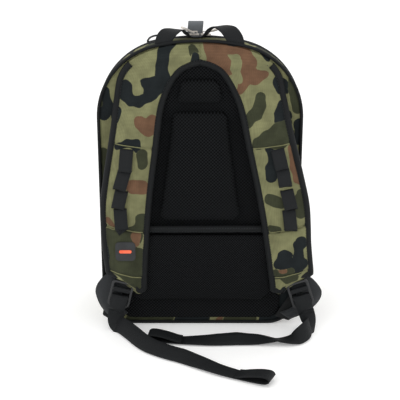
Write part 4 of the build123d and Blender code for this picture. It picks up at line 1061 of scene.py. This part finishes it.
# %% Rubber badge with one bar
for name, node, finish, slot in (("rubber_badge", "left_badge", dark_rubber, "badge_rubber"),
                                 ("orange_bar", "left_badge_bar", orange_rubber, "badge_accent")):
    badge = copy_of(name, node)
    edge = badge.modifiers.new("soft edge", "BEVEL")
    edge.width = 0.5 * MM
    edge.segments = 2
    edge.limit_method = "ANGLE"
    apply_modifiers(badge)
    dressed(badge, finish, "left_strap", (node,))

# %% [markdown]
# ## Edges, zips and the top of the pack
#
# The outline of the pack is a flat base, round lower corners, straight sides, and shoulder arcs that meet
# the wide arc of the crown. Piping and both arched zips follow it. The zips are nylon coils: a row of
# small turns sewn to each tape.

# %% Outline of the pack at a depth


def outline_line(y, half, top, out=0.0, from_z=None, step=3.0):
    """Points round the outline, in millimetres, from the left side over the crown to the right."""
    crown, shoulder, base = 290.0, 110.0, 45.0
    centre_z = top - crown
    sx = half - shoulder
    sz = centre_z + math.sqrt((crown - shoulder) ** 2 - sx**2)
    lean = math.atan2(sx, sz - centre_z)
    right = []
    for a in np.linspace(0, lean, 30, endpoint=False):
        right.append(((crown + out) * math.sin(a), centre_z + (crown + out) * math.cos(a)))
    for a in np.linspace(lean, math.radians(90), 30):
        right.append((sx + (shoulder + out) * math.sin(a), sz + (shoulder + out) * math.cos(a)))
    foot = base if from_z is None else from_z
    for z in np.linspace(sz, foot, 60)[1:]:
        right.append((half + out, z))
    if from_z is None:
        for a in np.linspace(0, math.radians(90), 16)[1:]:
            right.append((half - base + (base + out) * math.cos(a), base - (base + out) * math.sin(a)))
        right.append((0.0, -out))
    line = [(-x, z) for x, z in reversed(right[1:])] + right
    if from_z is None:
        line = line[1:]
    return np.array([(x, y, z) for x, z in line]) * MM


PACK_HALF, PACK_TOP = 150.0, 444.0
piping_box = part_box("rear_piping")
PIPING_Y = (piping_box[0].y + piping_box[1].y) / 2 / MM
piping_line = outline_line(PIPING_Y + 0.9, PACK_HALF, PACK_TOP, -1.5)
piping = swept("back_piping", piping_line, TO_WEARER, round_section(4.8 * MM, 4.8 * MM), closed=True)
dressed(piping, binding, "pack", ("rear_piping",))
print("piping at y", round(PIPING_Y, 1), "mm, of", len(piping_line), "sections")

# %% Zip coils
ZIP_FOOT = 61.0
COIL_OFF, TAPE_OFF = 1.35, 5.0  # how far each stands from the seam
POCKET_ZIP_Z = 208
ZIPS = {
    # depth of the seam, half width and top in millimetres, then the two bodies that it joins
    "main": (-45.0, PACK_HALF, PACK_TOP, ("pack", "main_panel")),
    "front": (35.0, 142.37, 426.95, ("main_panel", "front_panel")),
}
for name, (seam_y, half, top, bodies) in ZIPS.items():
    for side, sign, body in (("rear", -1, bodies[0]), ("front", 1, bodies[1])):
        line = outline_line(seam_y + sign * COIL_OFF, half, top, 0.3, from_z=ZIP_FOOT)
        coil = repeated(f"{name}_zip_{side}_coil", [line], 1.7 * MM, (1.25 * MM, 1.15 * MM, 1.5 * MM),
                        nylon_coil)
        dressed(coil, nylon_coil, body)
        tape_line = outline_line(seam_y + sign * TAPE_OFF, half, top, -1.2, from_z=ZIP_FOOT)
        along = np.gradient(tape_line, axis=0)
        outward = np.column_stack([-along[:, 2], 0 * along[:, 1], along[:, 0]])
        tape = swept(f"{name}_zip_{side}_tape", tape_line, outward, web_section(9 * MM, 1.0 * MM))
        dressed(tape, zip_tape, body)
        print(coil.name, len(coil.data.polygons), "faces")
for sign, name in ((-1, "lower"), (1, "upper")):
    line = [(x * MM, 104.0 * MM, (POCKET_ZIP_Z + sign * COIL_OFF) * MM) for x in (-110, 110)]
    coil = repeated(f"pocket_zip_{name}_coil", [line], 1.7 * MM, (1.25 * MM, 1.6 * MM, 1.1 * MM),
                    nylon_coil)
    dressed(coil, nylon_coil, "front_panel")

# %% Haul handle and grab tab
CROWN_TOP = 445.2
HANDLE = (
    # x, y, rise over the crown and the way that the web's face looks, from the left root to the right
    ((-53, -81, -10), (-0.05, -1, 0)), ((-51, -79.5, -1), (-0.1, -1, 0.1)),
    ((-47, -76, 5), (-0.3, -0.95, 0.4)), ((-39, -71, 9), (-0.4, -0.5, 0.8)),
    ((-30, -66, 10.5), (0, 0.1, 1)), ((-23, -63, 8), (0.7, 0.3, 0.7)), ((-19, -62, 3.5), (0.85, 0.3, 0.5)),
    ((-13, -61, 0.3), (0.2, 0.1, 1)), ((0, -60, 0), (0, 0.1, 1)), ((5, -61, 0.4), (-0.15, 0.1, 1)),
    ((10, -62, 5.5), (-0.85, 0.3, 0.5)), ((15, -63, 11.5), (-0.6, 0.28, 0.8)), ((24, -66, 15), (0, 0.1, 1)),
    ((35, -71, 13), (0.4, -0.5, 0.8)), ((44, -76, 8), (0.3, -0.95, 0.4)), ((50, -79.5, -1), (0.1, -1, 0.1)),
    ((52, -81, -10), (0.05, -1, 0)),
)
stops = [(x * MM, y * MM, (CROWN_TOP + rise) * MM, *face) for (x, y, rise), face in HANDLE]
both = smooth_through(stops, 3 * MM)
handle_line = both[:, :3]
handle = swept("haul_handle_web", handle_line, both[:, 3:], web_section(24 * MM, 1.8 * MM))
dressed(handle, webbing, "pack", ("haul_handle",))
tab_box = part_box("grab_tab")
tab_x = (tab_box[0].x + tab_box[1].x) / 2
y0, y1 = tab_box[0].y + 1.0 * MM, tab_box[1].y - 1.0 * MM
z0, z1 = tab_box[0].z, tab_box[1].z - 4.5 * MM
tab_points = [(y0, z0 - 1 * MM), (y0 - 0.2 * MM, z0 + 9 * MM), (y0 + 2 * MM, z1 - 3 * MM),
              ((y0 + y1) / 2, z1), (y1 - 2 * MM, z1 - 3 * MM), (y1 + 0.2 * MM, z0 + 9 * MM),
              (y1, z0 - 1 * MM)]
tab_line = smooth_through([(tab_x + 0.1 * (z - z1), y, z) for y, z in tab_points], 2 * MM)
turns = np.gradient(tab_line, axis=0)
tab = swept("grab_tab_web", tab_line, np.column_stack([0 * turns[:, 0], -turns[:, 2], turns[:, 1]]),
            web_section(22.5 * MM, 1.9 * MM))
dressed(tab, grey_webbing, "main_panel", ("grab_tab",))
print("handle and tab:", len(handle_line), "and", len(tab_line), "sections")

# %% Bound edge of the sleeve
band_lo, band_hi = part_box("sleeve_binding")
band_z, band_y = (band_lo.z + band_hi.z) / 2, (band_lo.y + band_hi.y) / 2
band_stops = ((band_lo.x + 1 * MM, band_y, band_z), (-0.05, band_y - 0.5 * MM, band_z - 0.3 * MM),
              (0.0, band_y - 0.8 * MM, band_z), (0.05, band_y - 0.5 * MM, band_z + 0.2 * MM),
              (band_hi.x - 1 * MM, band_y, band_z))
band_line = smooth_through(band_stops, 4 * MM)
band = swept("sleeve_edge_binding", band_line, TO_WEARER,
             round_section(band_hi.z - band_lo.z, band_hi.y - band_lo.y + 0.4 * MM, 16))
dressed(band, binding, "pack", ("sleeve_binding",))
rows = [band_line[1:-1] + np.array((0, -3.7 * MM, rise * MM)) for rise in (-2.6, 2.6)]
sewn = repeated("sleeve_binding_stitches", rows, 4.0 * MM, STITCH, thread)
dressed(sewn, thread, "pack")
print("sleeve binding", len(band_line), "sections")

# %% [markdown]
# ## Front pocket
#
# The pocket is a shallow box of printed cloth, split by its zip. A pocket like this is seldom empty, so
# its face bulges a little, most in the middle.

# %% Pocket cloth
for name, node in (("pocket_cloth", "pocket_panel"), ("pocket_hood_cloth", "pocket_hood")):
    cloth = remeshed(copy_of(name, node), 2.0 * MM, 3)
    at = places(cloth)
    lo, hi = at.min(axis=0), at.max(axis=0)
    across = np.clip(1 - (2 * (at[:, 0] - lo[0]) / (hi[0] - lo[0]) - 1) ** 2, 0, 1)
    up = np.clip(1 - (2 * (at[:, 2] - lo[2]) / (hi[2] - lo[2]) - 1) ** 2, 0, 1)
    forward = ease(at[:, 1], lo[1] + 4 * MM, hi[1] - 3 * MM)
    at[:, 1] += 5.0 * MM * across * up * forward
    set_places(cloth, at)
    wrinkled(cloth, 0.8 * MM, 40 * MM, 8.0)
    dressed(cloth, camo_cloth, "front_panel", (node,))
    print(name, len(cloth.data.polygons), "squares")

# %% Cloth tabs that close the pocket's sides at the ends of its zip
for side, x in (("left", -112.0), ("right", 112.0)):
    tab_side = swept(f"{side}_pocket_zip_tab",
                     smooth_through([(x * MM, y * MM, POCKET_ZIP_Z * MM) for y in (80, 88, 96, 103.5)],
                                    2 * MM), (1, 0, 0), web_section(14 * MM, 1.6 * MM))
    dressed(tab_side, binding, "front_panel")
print("pocket zip tabs at x 112 mm")

# %% [markdown]
# ## Webs at the bottom corners and the loose tails
#
# Each adjuster web goes from the corner of the bag up behind the buckle, through it, and then hangs down
# to the floor as a loose tail with a sewn loop at its end. A tail is a smooth line of a few control
# points, and the flat web turns from facing forwards, at the buckle, to lying on the floor.

# %% Ribbons between two edges


def ribbon_between(name, first, second, thickness):
    """A web between two lines of points, with its own UV map across and along in metres."""
    first, second = np.array(first, float), np.array(second, float)
    middle = (first + second) / 2
    across = unit(second - first)
    heading = unit(np.gradient(middle, axis=0))
    up = unit(np.cross(across, heading))
    section = web_section(1.0, thickness)
    length = travelled(middle)
    width = np.linalg.norm(second - first, axis=1)
    vertices, uvs = [], []
    for i in range(len(middle)):
        for a, b in section:
            vertices.append(middle[i] + across[i] * a * width[i] + up[i] * b)
            uvs.append(((a + 0.5) * width[i], length[i]))
    return mesh_object(name, vertices, tube_faces(len(middle), len(section)), uvs)


WEB_WIDTH = 25 * MM
WEB_THICKNESS = 1.6 * MM
SLACKS = {
    # outer and inner edge, x and z in millimetres, from behind the buckle to the bag's corner
    "left": (-1, ((138, 89), (149, 81), (159, 67), (161, 53), (154, 32), (141, 15), (129, 8)),
             ((112, 80), (116, 72), (119, 62), (122, 50), (125, 38), (121, 28), (112, 21))),
    "right": (1, ((152, 90), (169, 81), (181, 69), (188, 55), (183, 39), (165, 21), (140, 9)),
              ((134, 80), (142, 72), (147, 62), (149, 52), (149, 40), (140, 29), (124, 21))),
}
for side, (sign, outer, inner) in SLACKS.items():
    near = smooth_through([(sign * x * MM, -96.0 * MM, z * MM) for x, z in inner], 3 * MM)
    far = smooth_through([(sign * x * MM, -88.0 * MM, z * MM) for x, z in outer], 3 * MM)
    count = min(len(near), len(far))
    near, far = (line[np.linspace(0, len(line) - 1, count).round().astype(int)] for line in (near, far))
    settle = ease(near[:, 2], 20 * MM, 45 * MM)
    near[:, 1] += 6.5 * MM * (1 - settle)
    far[:, 1] += 0.5 * MM * (1 - settle)
    slack = ribbon_between(f"{side}_slack_web", near, far, WEB_THICKNESS)
    # The slack web's lighter finish is painted highlight.
    dressed(slack, slack_webbing_painted_highlight, replaced=(f"{side}_adjuster_web",))
    print(slack.name, len(near), "sections")

for side in SIDES:
    corner = remeshed(copy_of(f"{side}_corner_tab", f"{side}_anchor_tab"), 1.3 * MM, 2)
    dressed(corner, black_cloth, "pack", (f"{side}_anchor_tab",))

# %% Web turned over the lower bar of each buckle
BAR_TOP_Z, BAR_RUN = 57, 21  # the web drifts sideways below this height, over this much of it
OVER_BAR = ((57, 103.6), (56, 107.2), (51, 109.4), (43, 109.8), (36.5, 108.8), (32.5, 105.2), (32, 101.5))
for side, top_x, end_x in (("left", -121.5, -127.5), ("right", 154.0, 161.2)):
    turn_line = smooth_through([((top_x + (end_x - top_x) * (BAR_TOP_Z - z) / BAR_RUN) * MM, -y * MM, z * MM)
                                for z, y in OVER_BAR], 1.6 * MM)
    turned = swept(f"{side}_web_over_bar", turn_line, (0, -1, 0.15), web_section(WEB_WIDTH, WEB_THICKNESS))
    dressed(turned, webbing, f"{side}_lock")
    print(turned.name, len(turn_line), "sections")

# %% Smooth line of a loose web


def nurbs_line(points):
    """The points of the smooth curve that a row of control points gives."""
    curve = bpy.data.curves.new("web_route", "CURVE")
    curve.dimensions = "3D"
    curve.resolution_u = 12
    spline = curve.splines.new("NURBS")
    spline.points.add(len(points) - 1)
    for point, place in zip(spline.points, points):
        point.co = (*[v * MM for v in place], 1)
    spline.order_u = 3
    spline.use_endpoint_u = True
    route = linked("web_route", curve)
    bpy.context.view_layer.update()
    mesh = bpy.data.meshes.new_from_object(route.evaluated_get(bpy.context.evaluated_depsgraph_get()))
    line = np.array([v.co for v in mesh.vertices])
    bpy.data.objects.remove(route)
    return line


TAILS = {
    # control point, then the way that the web's face looks there
    "left": (
        ((-126.9, -101.6, 36.2), (0, -1, 0.1)), ((-132, -102.5, 17), (0, -1, 0.2)),
        ((-125, -109, 4.5), (-0.25, -0.85, 0.5)), ((-106, -131, 5.0), (-0.5, -0.5, 0.8)),
        ((-82, -168, 5.0), (-0.35, -0.4, 0.85)), ((-53, -190, 5.2), (-0.2, -0.42, 0.88)),
        ((-22, -206, 5.4), (-0.15, -0.42, 0.9)), ((6, -225, 4.6), (-0.1, -0.25, 0.95)),
        ((30, -241, 3.0), (0, -0.1, 1)), ((52, -251, 1.9), (0, 0, 1)),
    ),
    "right": (
        ((160.6, -101.6, 36.7), (0, -1, 0.1)), ((168, -104, 17), (0.55, -0.85, 0.1)),
        ((169, -116, 5.0), (0.8, -0.6, 0.3)), ((160, -135, 5.0), (0.5, -0.5, 0.75)),
        ((142, -149, 4.0), (0.1, -0.1, 1)), ((114, -150, 4.0), (0, 0.3, 0.95)),
        ((82, -147, 4.5), (0, -0.2, 0.98)), ((46, -149, 5.0), (0, -0.4, 0.9)),
        ((8, -150, 4.0), (0, -0.3, 0.95)), ((-26, -146, 1.9), (0, 0, 1)),
    ),
}
LOOP_SHAPE = ((-3, 0.0), (14, 0.0), (34, 0.2), (47, 1.5), (52.5, 6), (48, 10.5), (36, 10), (20, 6.4),
              (8, 2.8), (1, 1.9))
for side, stops in TAILS.items():
    line = nurbs_line([place for place, _ in stops])
    share = np.linspace(0, 1, len(line)) * (len(stops) - 1)
    normals = np.column_stack([np.interp(share, range(len(stops)), [n[k] for _, n in stops])
                               for k in range(3)])
    heading = unit(np.gradient(line, axis=0))
    normals = square_to(heading, normals)
    drop = 12.5 * MM * np.abs(np.cross(heading, normals)[:, 2]) + 0.9 * MM
    line[:, 2] = np.maximum(line[:, 2], drop)
    tail = swept(f"{side}_loose_tail", line, normals, web_section(WEB_WIDTH, WEB_THICKNESS))
    way = heading[-1] * np.array((1, 1, 0))
    way /= np.linalg.norm(way)
    loop_points = [line[-1] + way * a * MM + np.array((0, 0, b * MM)) for a, b in LOOP_SHAPE]
    loop_line = smooth_through(loop_points, 2.5 * MM)
    turns = np.gradient(loop_line, axis=0)
    ups = np.cross(np.cross((0, 0, 1), way), turns)
    loop = swept(f"{side}_sewn_loop", loop_line, ups, web_section(WEB_WIDTH, WEB_THICKNESS))
    dressed(tail, webbing, replaced=(f"{side}_tail",))
    dressed(loop, webbing, "pack", (f"{side}_tail_loop",))

# %% [markdown]
# ## Parts that keep their solid shape
#
# Buckles, sliders, pulls and the stiff sheets are hard, so their solids in the frame are kept, and so are
# the webs sewn to the buckles, the zip tapes and the divider. They only need their finishes.

# %% Braided cord loop of the front zip
cord_stops = ((-49, 35, 429), (-57, 33.6, 431), (-68, 32.4, 431.4), (-77, 33, 428), (-81, 35, 421.6),
              (-75, 36.6, 421.8), (-64, 36.4, 424.5), (-52, 35.6, 427))
cord_line = smooth_through(np.array(cord_stops) * MM, 1.5 * MM)
cord_loop = swept("front_zip_cord_loop", cord_line, TO_WEARER, round_section(3.0 * MM, 3.0 * MM, 10))
dressed(cord_loop, cord_braid, "front_tab", ("front_pull",))

# %% Finishes of the hard parts
kept = {
    acetal: ("left_buckle", "right_buckle"),
    zinc: ("left_main_slider", "right_main_slider", "front_slider", "pocket_slider", "left_main_pull",
           "right_main_pull", "pocket_pull"),
    node_webbing: ("left_pad_web", "right_pad_web", "left_adjuster_wrap", "right_adjuster_wrap"),
    zip_tape: ("main_zip_rear_half", "main_zip_front_half", "front_zip_rear_half",
               "front_zip_front_half", "pocket_zip_lower_tape", "pocket_zip_upper_tape"),
    board: ("frame_sheet", "base_board"),
    black_cloth: ("divider",),
}
for finish, members in kept.items():
    for member in members:
        finished_with(nodes[member].data, finish)
print("finished", sum(len(m) for m in kept.values()), "hard parts")
